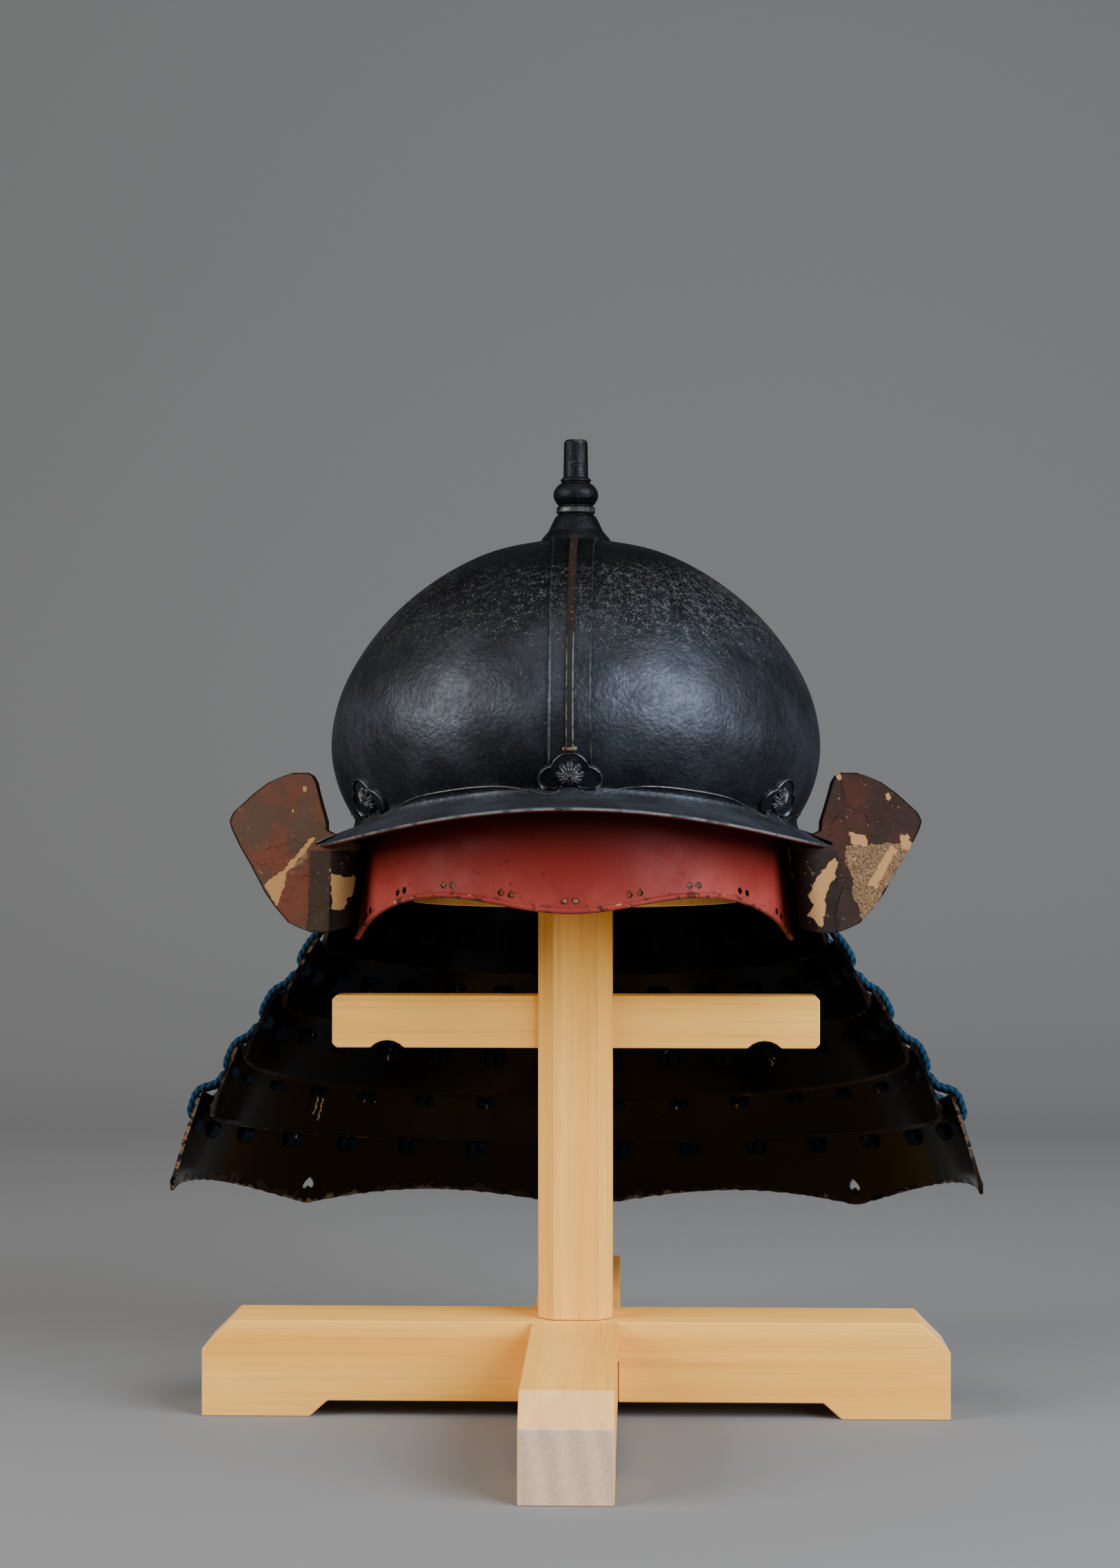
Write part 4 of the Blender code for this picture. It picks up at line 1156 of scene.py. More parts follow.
@dataclass
class Crown:
    """The finial and the strips that run down from it at the front and the back."""

    form: BowlForm
    finial_height: float = 0.0484
    finial_radius: float = 0.0169
    seat: float = 0.0003
    band_width: float = 0.0195
    band_edge: float = 0.0013
    band_floor: float = 0.0006
    edge_rise: float = 0.0010
    rib_width: float = 0.0036
    rib_height: float = 0.0021
    rust_height: float = 0.3600
    start: float = 0.0206
    band_start: float = 0.0125
    bracket_half: float = 0.0033
    finial_outline: tuple[Row, ...] = (
        # height, radius
        (0.000, 1.000), (0.041, 0.917), (0.103, 0.763), (0.176, 0.669), (0.244, 0.568), (0.262, 0.485),
        (0.281, 0.544), (0.331, 0.544), (0.349, 0.473), (0.380, 0.550), (0.420, 0.615), (0.459, 0.633),
        (0.504, 0.603), (0.550, 0.509), (0.579, 0.385), (0.591, 0.426), (0.612, 0.426), (0.628, 0.349),
        (0.975, 0.331), (1.000, 0.272),
    )

    def finial(self) -> Body:
        """The turned finial, its corners rounded by about 0.3 mm."""
        rows = np.array(self.finial_outline) * (self.finial_height, self.finial_radius)
        length = path_length(rows)
        at = np.linspace(0.0, length[-1], 420)
        height, radius = (np.interp(at, length, rows[:, column]) for column in (0, 1))
        height, radius = (smoothed(values, 6)[::2] for values in (height, radius))
        turn = circle(72)
        base = self.form.crown_height + self.seat
        points = np.stack(np.broadcast_arrays(radius[:, None] * np.cos(turn), radius[:, None] * np.sin(turn),
                                              base + height[:, None]), axis=-1)
        bare = 0.25 * peak(height - 0.306 * self.finial_height, 0.0012) + 0.2 * peak(height - 0.0480, 0.0008)
        return Skin("helmet_finial").add(points, bare=bare[:, None]).build()

    def strip(self, name: str, azimuth: float, start: float, section: Array, bare: Array) -> Body:
        """A strip that runs up the dome to the finial's foot.

        Args:
            name: The object's name.
            azimuth: Where round the bowl it runs.
            start: How far up the dome it starts.
            section: Its section as aside and lift, a closed loop.
            bare: How pale each point of the section is: worn metal, and a painted highlight on its edge
                lines.

        Returns:
            The object, with the marks bare and rust.
        """
        table = np.linspace(1.0, 0.0, 400)
        drop, width = self.form.profile(table)
        fall = self.form.crown_height - self.form.base(azimuth) - self.form.collar_height
        climb_end = np.hypot(np.diff(drop) * fall, np.diff(width)).sum()
        climb = np.linspace(start, climb_end, 150)[:, None]
        points = self.form.on_dome(azimuth, climb, section[None, :, 1], section[None, :, 0])
        low = 1 - ease((points[..., 2] - 0.335) / 0.05)
        rust = ease((points[..., 2] - self.rust_height) / 0.004)
        return Skin(name).add(points, bare=bare[None, :] * mix(0.35, 1.0, low), rust=rust).build()

    def band_section(self) -> tuple[Array, Array]:
        """A band's section, flat with a thin rounded line along each edge, and a painted highlight on those
        lines.
        """
        half = self.band_width / 2
        aside = np.linspace(-half, half, 61)
        line = peak(np.abs(aside) - (half - self.band_edge / 2), 0.00035)
        lift = self.band_floor + self.edge_rise * line
        lift[[0, -1]] = self.band_floor * 0.4
        top = np.stack((aside, lift), axis=1)
        foot = np.stack((aside[::-6], np.full(11, -0.0004)), axis=1)
        # The edge lines get a painted highlight through the pale-metal mark.
        return np.concatenate((top, foot)), np.concatenate((0.45 * line, np.zeros(11)))

    def rib_section(self) -> tuple[Array, Array]:
        """A rib's rounded section, its two upper corners worn pale and painted with a highlight."""
        half = self.rib_width / 2
        aside = np.linspace(-half, half, 25)
        lift = self.band_floor + self.rib_height * (1 - np.abs(aside / half) ** 5) ** 0.5
        # Painted highlight, with some wear, along the two upper corners.
        bare = 0.6 * peak(np.abs(aside) - 0.80 * half, 0.00022)
        top = np.stack((aside, lift), axis=1)
        foot = np.stack((aside[::-4], np.full(7, 0.0001)), axis=1)
        return np.concatenate((top, foot)), np.concatenate((bare, np.zeros(7)))

    def bracket(self) -> Body:
        """The small bar under the front rib, rounded at its edges."""
        aside = np.linspace(-self.bracket_half, self.bracket_half, 24)[:, None]
        loop = circle(16)
        small = np.sqrt(np.clip(1 - (aside / self.bracket_half) ** 8, 0.10, 1.0))
        wave = [np.sign(each) * np.abs(each) ** 0.5 for each in (np.cos(loop), np.sin(loop))]
        points = self.form.on_dome(0.0, self.start - 0.0013 + 0.0009 * small * wave[0],
                                   0.0013 + 0.0011 * small * wave[1], aside)
        return Skin("helmet_rib_bracket").add(points).build()

    def dress(self, iron: Look, rust: Look, brass: Look) -> None:
        """Build the crown's pieces in their finishes."""
        place(self.finial(), iron, ("finial",), 55)
        for name, azimuth in (("front", 0.0), ("back", math.pi)):
            band = self.strip(f"helmet_{name}_band", azimuth, self.band_start, *self.band_section())
            place(band, iron, (f"{name}_band",), 70)
            rib = self.strip(f"helmet_{name}_rib", azimuth, self.start, *self.rib_section())
            place(rib, rust, (f"{name}_rib",), 70)
        place(self.bracket(), brass, ("rib_bracket",))


@dataclass
class Medallions:
    """Six lobed medallions round the bowl's foot, each with a raised rim, two curls and a flower boss."""

    form: BowlForm
    count: int = 6
    middle: float = 0.0070
    centre_drop: float = 0.0010
    field: float = 0.0006
    rim: float = 0.0013
    margin: float = 0.0008
    flower: float = 0.0064
    petals: int = 8
    lobes: tuple[Row, ...] = (
        # aside, up, radius
        (0.0000, 0.0018, 0.0091), (-0.0076, -0.0020, 0.0067), (0.0076, -0.0020, 0.0067),
    )

    def petal_ring(self, radius: Array, turn: Array, size: float, offset: float) -> Array:
        """A ring of petals: round lobes parted by grooves, each with a fine vein.

        Args:
            radius: Distance from the flower's middle.
            turn: Turn round it.
            size: The ring's radius.
            offset: How far the ring is turned.

        Returns:
            The height, from 0 to 1.
        """
        lobes = np.abs(np.cos(self.petals * (turn - offset) / 2))
        reach = size * (0.70 + 0.30 * lobes ** 0.6)
        petal = np.sqrt(np.clip(1 - (radius / reach) ** 4, 0.0, 1.0))
        vein = 0.30 * peak(1 - lobes, 0.03)
        return petal * (1 - 0.75 * peak(lobes, 0.25) - vein)

    def relief(self, across: Array, up: Array) -> Array:
        """Height of the relief.

        The outline is three round lobes. A rim runs just inside it, open at the foot between the hooks,
        round a flat field with a flower of two rings of petals and a knob.

        Args:
            across: Distance aside from the flower's middle.
            up: Distance up from it.

        Returns:
            The height above the bowl.
        """
        outside = np.min([np.hypot(across - x, up - y) - radius for x, y, radius in self.lobes], axis=0)
        foot = peak(across, 0.0052) * ease(-(up + 0.0045) / 0.002)
        height = self.field * (1 - ease((outside + 0.0006) / 0.0008)) * (1 - foot)
        height = height + self.rim * peak(outside + 0.0006, 0.00042) * (1 - foot)
        radius, turn = np.hypot(across, up), np.arctan2(across, up)
        height = height + 0.0014 * self.petal_ring(radius, turn, self.flower, 0.0)
        height = height + 0.0008 * self.petal_ring(radius, turn, 0.0038, math.pi / self.petals)
        return height + 0.0006 * peak(radius, 0.0009) - 0.0005 * ease((outside + 0.0002) / 0.0006)

    def medallion(self, number: int) -> Body:
        """One medallion, laid on the bowl and sunk a little into it all round.

        Its points lie on rays from just under the flower's middle. Each ray ends a margin outside the
        furthest lobe that it meets.

        Args:
            number: Which medallion, from 0 at the front.

        Returns:
            The object, with the mark bare, pale on its raised tops.
        """
        turn = circle(260)
        share = np.linspace(0.0, 1.0, 84)[:, None]
        reach = np.zeros_like(turn)
        for x, y, radius in self.lobes:
            toward = np.cos(turn) * x + np.sin(turn) * (y + self.centre_drop)
            room = radius ** 2 - x ** 2 - (y + self.centre_drop) ** 2 + toward ** 2
            reach = np.maximum(reach, np.where(room > 0, toward + np.sqrt(np.maximum(room, 0.0)), 0.0))
        reach = reach + self.margin
        across, up = reach * share * np.cos(turn), reach * share * np.sin(turn) - self.centre_drop
        height = self.relief(across, up)
        points = self.form.on_dome(2 * math.pi * number / self.count, self.middle + up, height, across)
        bare = 0.50 * ease((height - 0.0013) / 0.0006)
        return Skin(f"helmet_medallion_{number + 1}").add(points, bare=bare).build(weld=1e-6)

    def dress(self, iron: Look) -> None:
        """Build the six medallions in black iron."""
        for number in range(self.count):
            place(self.medallion(number), iron, (f"medallion_{number + 1}",), 80)


@dataclass
class BrowBand:
    """The lacquered band inside the bowl's foot at the front, with a bead and nine pairs of holes."""

    form: BowlForm
    wall: float = 0.0020
    end_angle: float = math.radians(68)
    hump_angle: float = math.radians(31)
    tuck: float = 0.0050
    flare: float = 0.0055
    middle_depth: float = 0.0504
    hump: float = 0.0064
    tip_drop: float = 0.0215
    bead: float = 0.0026
    bead_rise: float = 0.0013
    pairs: int = 9
    hole_radius: float = 0.00125
    hole_pitch: float = 0.0046
    hole_lift: float = 0.0030
    hole_spread: float = 0.9
    seat: float = 0.0003

    def foot(self, azimuth: Array) -> Array:
        """Height of the lower edge: a low middle, a hump at each side and long tips."""
        turn = np.abs(azimuth)
        middle = self.form.base_side + self.form.base_rise - self.middle_depth
        rise = self.hump * np.sin(math.pi / 2 * np.minimum(turn / self.hump_angle, 1.0)) ** 2
        past = np.maximum((turn - self.hump_angle) / (self.end_angle - self.hump_angle), 0.0)
        return middle + rise - self.tip_drop * past ** 2

    def out(self, azimuth: Array, height: Array) -> Array:
        """How far the band's outer face stands out from the neck at a height, its bead left off."""
        start = self.form.base(azimuth) - self.form.wall
        lean = np.clip((start - height) / (start - self.foot(azimuth)), 0.0, 1.0)
        return -self.form.wall - 2 * self.seat + self.flare * lean

    def band(self) -> Body:
        """The band, its holes cut through.

        Returns:
            The object, with the marks fall, which the lacquer uses for its painted shade and light, and bead.
        """
        azimuth = np.linspace(-self.end_angle, self.end_angle, 260)[None, :]
        top, foot = self.form.base(azimuth) + self.tuck, self.foot(azimuth)
        share = np.linspace(0.0, 1.0, 36)[:, None]
        height = mix(top, foot + self.bead, share)
        outer = self.form.on_oval(azimuth, self.form.neck, self.out(azimuth, height), height)
        curl = np.linspace(math.pi / 2, -math.pi * 0.75, 14)[:, None]
        bead_height = foot + self.bead / 2 + self.bead / 2 * np.sin(curl)
        round_out = self.out(azimuth, bead_height) + self.bead_rise * np.cos(curl)
        bead = self.form.on_oval(azimuth, self.form.neck, round_out, bead_height)
        height = mix(foot + self.bead * 0.6, top, np.linspace(0.0, 1.0, 14)[:, None])
        inner = self.form.on_oval(azimuth, self.form.neck, self.out(azimuth, height) - self.wall, height)
        # fall runs from 0 at the top to 1 at the foot, for the lacquer's painted shade and light.
        fall = np.concatenate((share[:, 0], np.ones(14), np.linspace(1.0, 0.0, 14)))
        bead_mark = np.concatenate((np.zeros(35), (0.7,), np.ones(14), np.zeros(14)))
        skin = Skin("helmet_brow_band")
        skin.add(np.concatenate((outer, bead, inner)), over_rows=True,
                 fall=fall[:, None], bead=bead_mark[:, None])
        band = skin.build()
        carve(band, self.hole_cutter())
        return band

    def holes(self) -> tuple[Array, Array]:
        """Azimuths and heights of the holes, pair by pair from the left."""
        pitch = 2 * self.hole_spread * self.end_angle / (self.pairs - 1)
        middle = (np.arange(self.pairs) - (self.pairs - 1) / 2) * pitch
        half = self.hole_pitch / 2 / self.form.neck
        azimuth = (middle[:, None] + np.array((-half, half))[None, :]).ravel()
        return azimuth, self.foot(azimuth) + self.bead + self.hole_lift

    def rod(self, azimuth: Array, height: Array, outs: Array, radii: Array) -> Array:
        """Rings of points round a radial line through the band.

        Args:
            azimuth: Where round the band.
            height: The line's height.
            outs: How far out each ring stands.
            radii: Each ring's radius.

        Returns:
            Rings by sides by three coordinates.
        """
        turn = circle(16)
        across = self.form.around(azimuth + math.pi / 2, 1.0, 1.0, 0.0)
        middle = self.form.on_oval(azimuth, self.form.neck, outs, height)[:, None, :]
        radii = np.asarray(radii)[:, None]
        return (middle + (radii * np.cos(turn))[..., None] * across
                + (radii * np.sin(turn))[..., None] * np.array((0.0, 0.0, 1.0)))

    def hole_cutter(self) -> Body:
        """All the holes' rods in one object."""
        skin = Skin("hole_rods")
        for azimuth, height in zip(*self.holes()):
            skin.add(self.rod(azimuth, height, np.array((-0.012, 0.012)), (self.hole_radius,) * 2))
        return skin.build()

    def plugs(self) -> Body:
        """Thread ends that fill the middle pair of holes and the second pair to each side."""
        azimuths, heights = self.holes()
        middle = self.pairs // 2
        skin = Skin("helmet_brow_plugs")
        for pair in (middle - 2, middle, middle + 2):
            for hole in (2 * pair, 2 * pair + 1):
                out = float(self.out(azimuths[hole], heights[hole]))
                outs = out + np.array((-0.0014, -0.0002, 0.0001, 0.0003))
                radii = np.array((0.0011, 0.0011, 0.0008, 0.0002))
                skin.add(self.rod(azimuths[hole], heights[hole], outs, radii))
        return skin.build()

    def dress(self, red: Look, thread: Look) -> None:
        """Build the band and its plugs."""
        place(self.band(), red, ("brow_band",), 50)
        place(self.plugs(), thread)


@dataclass
class NeckGuard:
    """Five lacquered lames, each outside the one above it."""

    form: GuardForm
    columns: int = 240
    corner: float = 0.0060
    front_rise: float = 0.0095
    heart_width: float = 0.0080
    heart_height: float = 0.0070
    heart_lift: float = 0.0100

    def lame(self, index: int) -> Body:
        """One lame, an open arc from cheek to cheek, with a rounded foot and rounded lower corners.

        The lowest lame's foot is chipped by three sine waves of up to 0.3 mm.

        Args:
            index: Which lame, 0 at the top.

        Returns:
            The object, with the marks edge and age.
        """
        form = self.form
        last = index == len(form.lames) - 1
        step = np.linspace(-1.0, 1.0, self.columns)[None, :]
        share = np.concatenate((np.linspace(0, 1, 22), (1.0,), np.linspace(1, 0, 22)))[:, None]
        out = np.concatenate((np.zeros(22), (-form.wall / 2,), np.full(22, -form.wall)))[:, None]
        out[0, 0], out[-1, 0] = -0.0003, -form.wall + 0.0003
        bulge = np.concatenate((np.zeros(22), (-0.0005,), np.zeros(22)))[:, None]
        azimuth = math.pi + step * (math.pi - form.end(index, share))
        girth = 2 * math.pi * mix(form.bowl.neck, form.half_width, form.lames[index][1]) * 0.5
        from_end = (1 - np.abs(step)) * girth
        short = np.clip(1 - from_end / self.corner, 0.0, 1.0)
        lift = self.corner * (1 - np.sqrt(1 - 0.98 * short ** 2)) * share ** 6
        if not index:
            lift = lift + self.front_rise * (1 - ease((from_end - 0.030) / 0.028)) * share ** 3
        if last:
            turn = math.pi * step
            chips = np.sin(67 * turn) + np.sin(113 * turn + 1.0) + np.sin(181 * turn + 2)
            lift = lift + 0.00012 * chips * share ** 6
        points = form.on_lame(index, azimuth, share, out, bulge + lift)
        top, foot = form.heights(index, azimuth)
        edge = np.minimum((1 - share) * (top - foot), from_end * 0.6 if index else 0.02)
        age = np.full_like(edge, 0.85 if last else 0.05)
        return Skin(f"guard_lame_{index + 1}").add(points, over_rows=True, edge=edge, age=age).build()

    def hearts(self) -> Body:
        """Heart-shaped prisms, tips up, above the lowest lame's side cusps."""
        form = self.form
        index = len(form.lames) - 1
        turn = circle(40)[0]
        wide = np.sin(turn) ** 3
        tall = (5 * np.cos(2 * turn) + 2 * np.cos(3 * turn) - 13 * np.cos(turn)) / 15
        skin = Skin("heart_prisms")
        for side in Side:
            azimuth = math.pi - side.value * (math.pi - form.end_angle) / 2
            middle = form.on_lame(index, azimuth, 1.0)
            middle[2] = form.heights(index, azimuth)[1] + self.heart_lift
            across = form.bowl.around(azimuth + math.pi / 2, 1.0, 1.0, 0.0)
            out = form.bowl.around(azimuth, 1.0, 1.0, 0.0)
            loop = (middle + across * (wide * self.heart_width / 2)[:, None]
                    + np.array((0.0, 0.0, 1.0)) * (tall * self.heart_height / 2)[:, None])
            skin.add(np.stack([loop + out * reach for reach in (-0.012, 0.012)]))
        return skin.build()

    def dress(self, black: Look) -> None:
        """Build the five lames in black lacquer."""
        for index in range(len(self.form.lames)):
            lame = self.lame(index)
            if index == len(self.form.lames) - 1:
                carve(lame, self.hearts())
            place(lame, black, (f"neck_lame_{index + 1}",), 50)


@dataclass
class Lacing:
    """Sixteen columns of paired braided cords that go in and out of the lames."""

    form: GuardForm
    columns: int = 16
    pitch: float = math.radians(12)
    half_width: float = 0.0025
    half_height: float = 0.0019
    apart: float = 0.0056
    enters: float = 0.0095
    leaves: float = 0.0120
    braid: float = 0.0034
    thread: float = 0.00045
    loose: tuple[tuple[float, int, float], ...] = (
        # column, lame, length
        (12.05, 3, 0.0110), (11.93, 3, 0.0140), (11, 2, 0.0090), (10, 1, 0.0070), (4.05, 2, 0.0110),
        (3.95, 2, 0.0080), (10.9, 3, 0.0022), (11.1, 3, 0.0022), (9, 3, 0.0020), (6, 3, 0.0020),
        (5, 3, 0.0022), (6, 2, 0.0018), (12, 4, 0.0020), (3, 4, 0.0022), (2, 3, 0.0020), (13, 2, 0.0020),
    )

    def azimuth(self, number: float) -> float:
        """The azimuth of a column, or of a place between two."""
        return math.pi + (number - (self.columns - 1) / 2) * self.pitch

    def stretch(self, skin: Skin, azimuth: float, side: int, stops: list[Row], steps: int,
                lit: float = 1.0) -> None:
        """Add one stretch of cord.

        Its middle is a natural cubic curve through the stops, and its section a flat oval whose height
        and width swell with the plait: a cosine of the length and of the turn away from the top.

        Args:
            skin: Where it is added.
            azimuth: The column's azimuth.
            side: -1 for the left cord of the pair and 1 for the right.
            stops: Lame, height above that lame's own top, distance out and rise, for each stop.
            steps: Rings along it.
            lit: How bright its strands are; below 1 it paints shade on the cord inside the guard.
        """
        form = self.form
        foot_spread = form.lames[int(stops[0][0])][1]
        turn = azimuth + side * self.apart / 2 / mix(form.bowl.neck, form.half_width, foot_spread)
        spots = []
        for index, above, out, rise in stops:
            share = form.share_at(int(index), turn, form.heights(int(index), turn)[0] + above)
            spots.append(form.on_lame(int(index), turn, share, out, rise))
        spots = np.array(spots)
        length = path_length(spots)
        at = np.linspace(0.0, length[-1], steps)
        path = np.stack([spline(length, spots[:, column], at) for column in range(3)], axis=1)
        across = np.broadcast_to(form.bowl.around(turn + math.pi / 2, 1.0, 1.0, 0.0), path.shape)
        along = np.gradient(path, axis=0)
        normal = np.cross(across, along)
        normal /= np.linalg.norm(normal, axis=1, keepdims=True)
        round_turn = circle(18)
        from_top = np.abs(wrapped(round_turn - math.pi / 2))
        plait = 0.5 + 0.5 * np.cos(2 * math.pi * at[:, None] / self.braid + 2.2 * from_top)
        plait = plait * (1 - 0.6 * peak(from_top, 0.25))
        swell = 0.88 + 0.16 * plait
        points = tube(path, across, normal, self.half_width * swell, self.half_height * swell, 18)
        skin.add(points, strand=plait * lit)

    def column(self, number: int) -> Body:
        """One column: for each gap a pair outside over the lower lame's edge, and pairs inside between holes.

        Args:
            number: Which column, from 0.

        Returns:
            The object, with the mark strand.
        """
        azimuth = self.azimuth(number)
        form = self.form
        skin = Skin(f"lacing_{number + 1:02d}")
        face, inner = -form.wall, -form.wall - 0.0010
        last = len(form.lames) - 1
        tops = [float(form.heights(index, azimuth)[0]) for index in range(last + 1)]
        falls = [high - low for high, low in zip(tops, tops[1:])]
        tails = ((0, self.enters - falls[0], 0.0070), (last, -self.leaves - 0.0055, 0.0055))
        for side in (-1, 1):
            for gap, fall in enumerate(falls):
                start = self.enters - fall
                self.stretch(skin, azimuth, side, [
                    (gap, start, -0.0006, 0.0), (gap, start - 0.0012, 0.0013, 0.0),
                    (gap, start - 0.0045, 0.0026, 0.0), (gap + 1, -0.0004, 0.0008, 0.0018),
                    (gap + 1, -0.0058, 0.0026, 0.0), (gap + 1, -self.leaves + 0.0018, 0.0014, 0.0),
                    (gap + 1, -self.leaves, -0.0006, 0.0)], 44)
                if gap:
                    # Painted shade: the inside stretches' strands are dimmed to 0.10.
                    self.stretch(skin, azimuth, side, [
                        (gap, -self.leaves, face + 0.0004, 0.0), (gap, -self.leaves - 0.0008, inner, 0.0),
                        (gap, start + 0.0008, inner, 0.0), (gap, start, face + 0.0004, 0.0)], 18, 0.10)
            # Painted shade: the tails inside the guard are dimmed to 0.06.
            for index, low, length in tails:
                high = low + length
                self.stretch(skin, azimuth, side, [
                    (index, high, face + 0.0006, 0.0), (index, high - 0.0010, inner, 0.0),
                    (index, low + 0.0010, inner, 0.0), (index, low, face + 0.0006, 0.0)], 16, 0.06)
        return skin.build()

    def threads(self) -> Body:
        """Frayed thread ends inside some holes, thin tubes whose sway is a sine of their length."""
        skin = Skin("loose_threads")
        form = self.form
        at = np.linspace(0.0, 1.0, 30)
        for number, index, length in self.loose:
            azimuth = self.azimuth(number)
            height = form.heights(index, azimuth)[0] - self.leaves - length * at
            sway = np.sin(length * 1400 * at + number)
            turn = azimuth + 0.004 * sway
            out = -form.wall - 0.0024 * np.sin(math.pi * (0.15 + 0.5 * at)) - 0.0003 * sway
            path = form.on_lame(index, turn, form.share_at(index, turn, height), out)
            across = np.broadcast_to(form.bowl.around(azimuth + math.pi / 2, 1.0, 1.0, 0.0), path.shape)
            normal = np.broadcast_to(form.bowl.around(azimuth, 1.0, 1.0, 0.0), path.shape)
            skin.add(tube(path, across, normal, self.thread, self.thread, 8))
        return skin.build()

    def dress(self, blue: Look, tan: Look) -> None:
        """Build the sixteen columns in blue cord and the loose threads in tan."""
        place(self.threads(), tan)
        for number in range(self.columns):
            place(self.column(number), blue, (f"lacing_column_{number + 1:02d}",), 70)


def segment_distance(across: Array, up: Array, line: tuple[Row, ...], closed: bool) -> Array:
    """Distance from points to a line of straight stretches.

    Args:
        across: The points' first coordinate.
        up: Their second coordinate.
        line: The line's corners.
        closed: Whether its last corner joins its first, and distances inside it count below nought.

    Returns:
        The distances, in the corners' unit.
    """
    corners = np.array(line)
    pairs = list(zip(corners, np.roll(corners, -1, axis=0)))
    if not closed:
        pairs = pairs[:-1]
    nearest = np.full(np.shape(across), np.inf)
    inside = np.zeros(np.shape(across), dtype=bool)
    for first, second in pairs:
        run = second - first
        share = np.clip(((across - first[0]) * run[0] + (up - first[1]) * run[1]) / (run @ run), 0.0, 1.0)
        away = np.hypot(across - first[0] - share * run[0], up - first[1] - share * run[1])
        nearest = np.minimum(nearest, away)
        crosses = (first[1] > up) != (second[1] > up)
        at = first[0] + (up - first[1]) * run[0] / np.where(run[1] == 0, 1e-9, run[1])
        inside ^= crosses & (across < at)
    return np.where(inside, -nearest, nearest) if closed else nearest


@dataclass(frozen=True)
class Damage:
    """Where one turn-back is cracked and flaked, as height and distance aside in millimetres."""

    flakes: tuple[tuple[Row, ...], ...]
    rough: tuple[tuple[Row, ...], ...]
    cracks: tuple[tuple[Row, ...], ...]
    spots: tuple[Row, ...]


LEFT_DAMAGE = Damage(
    flakes=(
        # aside, height
        ((119.1, 273), (122.9, 269.2), (126.1, 263.9), (130.4, 260.6), (132.1, 257.4), (139.1, 253.1),
         (142.8, 249.9), (135.8, 240.2), (133.1, 247.7), (131, 255.8), (127.2, 260.6), (121.8, 266),
         (118.1, 271.4)),
        ((110.9, 257.9), (108.9, 255.5), (104.6, 254.2), (98.4, 254.2), (98.7, 247.7), (102.5, 243.4),
         (103.7, 239.3), (109.5, 239.1), (110, 249.9)),
    ),
    rough=(
        ((121.5, 268), (126, 262.5), (130, 259), (126.5, 258), (121.5, 262.5)),
    ),
    cracks=(
        ((120.5, 262), (120.9, 250), (119.8, 238), (121.5, 226)),
        ((124, 267), (131, 265), (138, 260.5), (145, 258.5)),
        ((128, 270), (134, 268.5), (141, 266)),
        ((122, 255), (127, 250), (131, 243)),
    ),
    spots=(
        # aside, height, radius
        (124, 294, 1.1), (146, 262, 0.7), (129.5, 284, 0.3),
    ),
)
RIGHT_DAMAGE = Damage(
    flakes=(
        ((125.5, 274), (133, 273.2), (135.2, 271), (134.6, 268), (126.5, 268.4)),
        ((145.9, 268), (149, 266), (143, 257), (138.5, 249), (134.5, 250.5), (140, 260)),
        ((150.2, 273), (153.5, 273.5), (156.5, 266), (150.5, 266.4)),
        ((119, 262.8), (110.4, 254.2), (106.6, 246.6), (108.8, 241.3), (106.1, 236.9), (112.5, 232.1),
         (114.7, 239.1), (113.6, 244.5), (119, 254.2), (120.1, 260.6)),
        ((95, 267), (98, 267), (99.5, 255), (98.5, 240), (95, 240)),
    ),
    rough=(
        ((124.4, 268.6), (157.5, 269.4), (131.9, 233), (130.8, 236.9), (127.1, 245.6), (127.1, 253.1),
         (123.9, 260.6)),
    ),
    cracks=(
        ((122.2, 298.3), (124.4, 286.5), (134, 281.5), (143.8, 276.8)),
        ((124.4, 286.5), (118, 279), (116, 272)),
        ((121.5, 262), (122.5, 250), (118.5, 238), (119.5, 227)),
        ((122.5, 250), (127, 247)),
        ((134, 281.5), (137, 273)),
    ),
    spots=(
        (121.7, 300, 1.6), (144.8, 290.5, 1.2), (128, 262, 0.8),
    ),
)


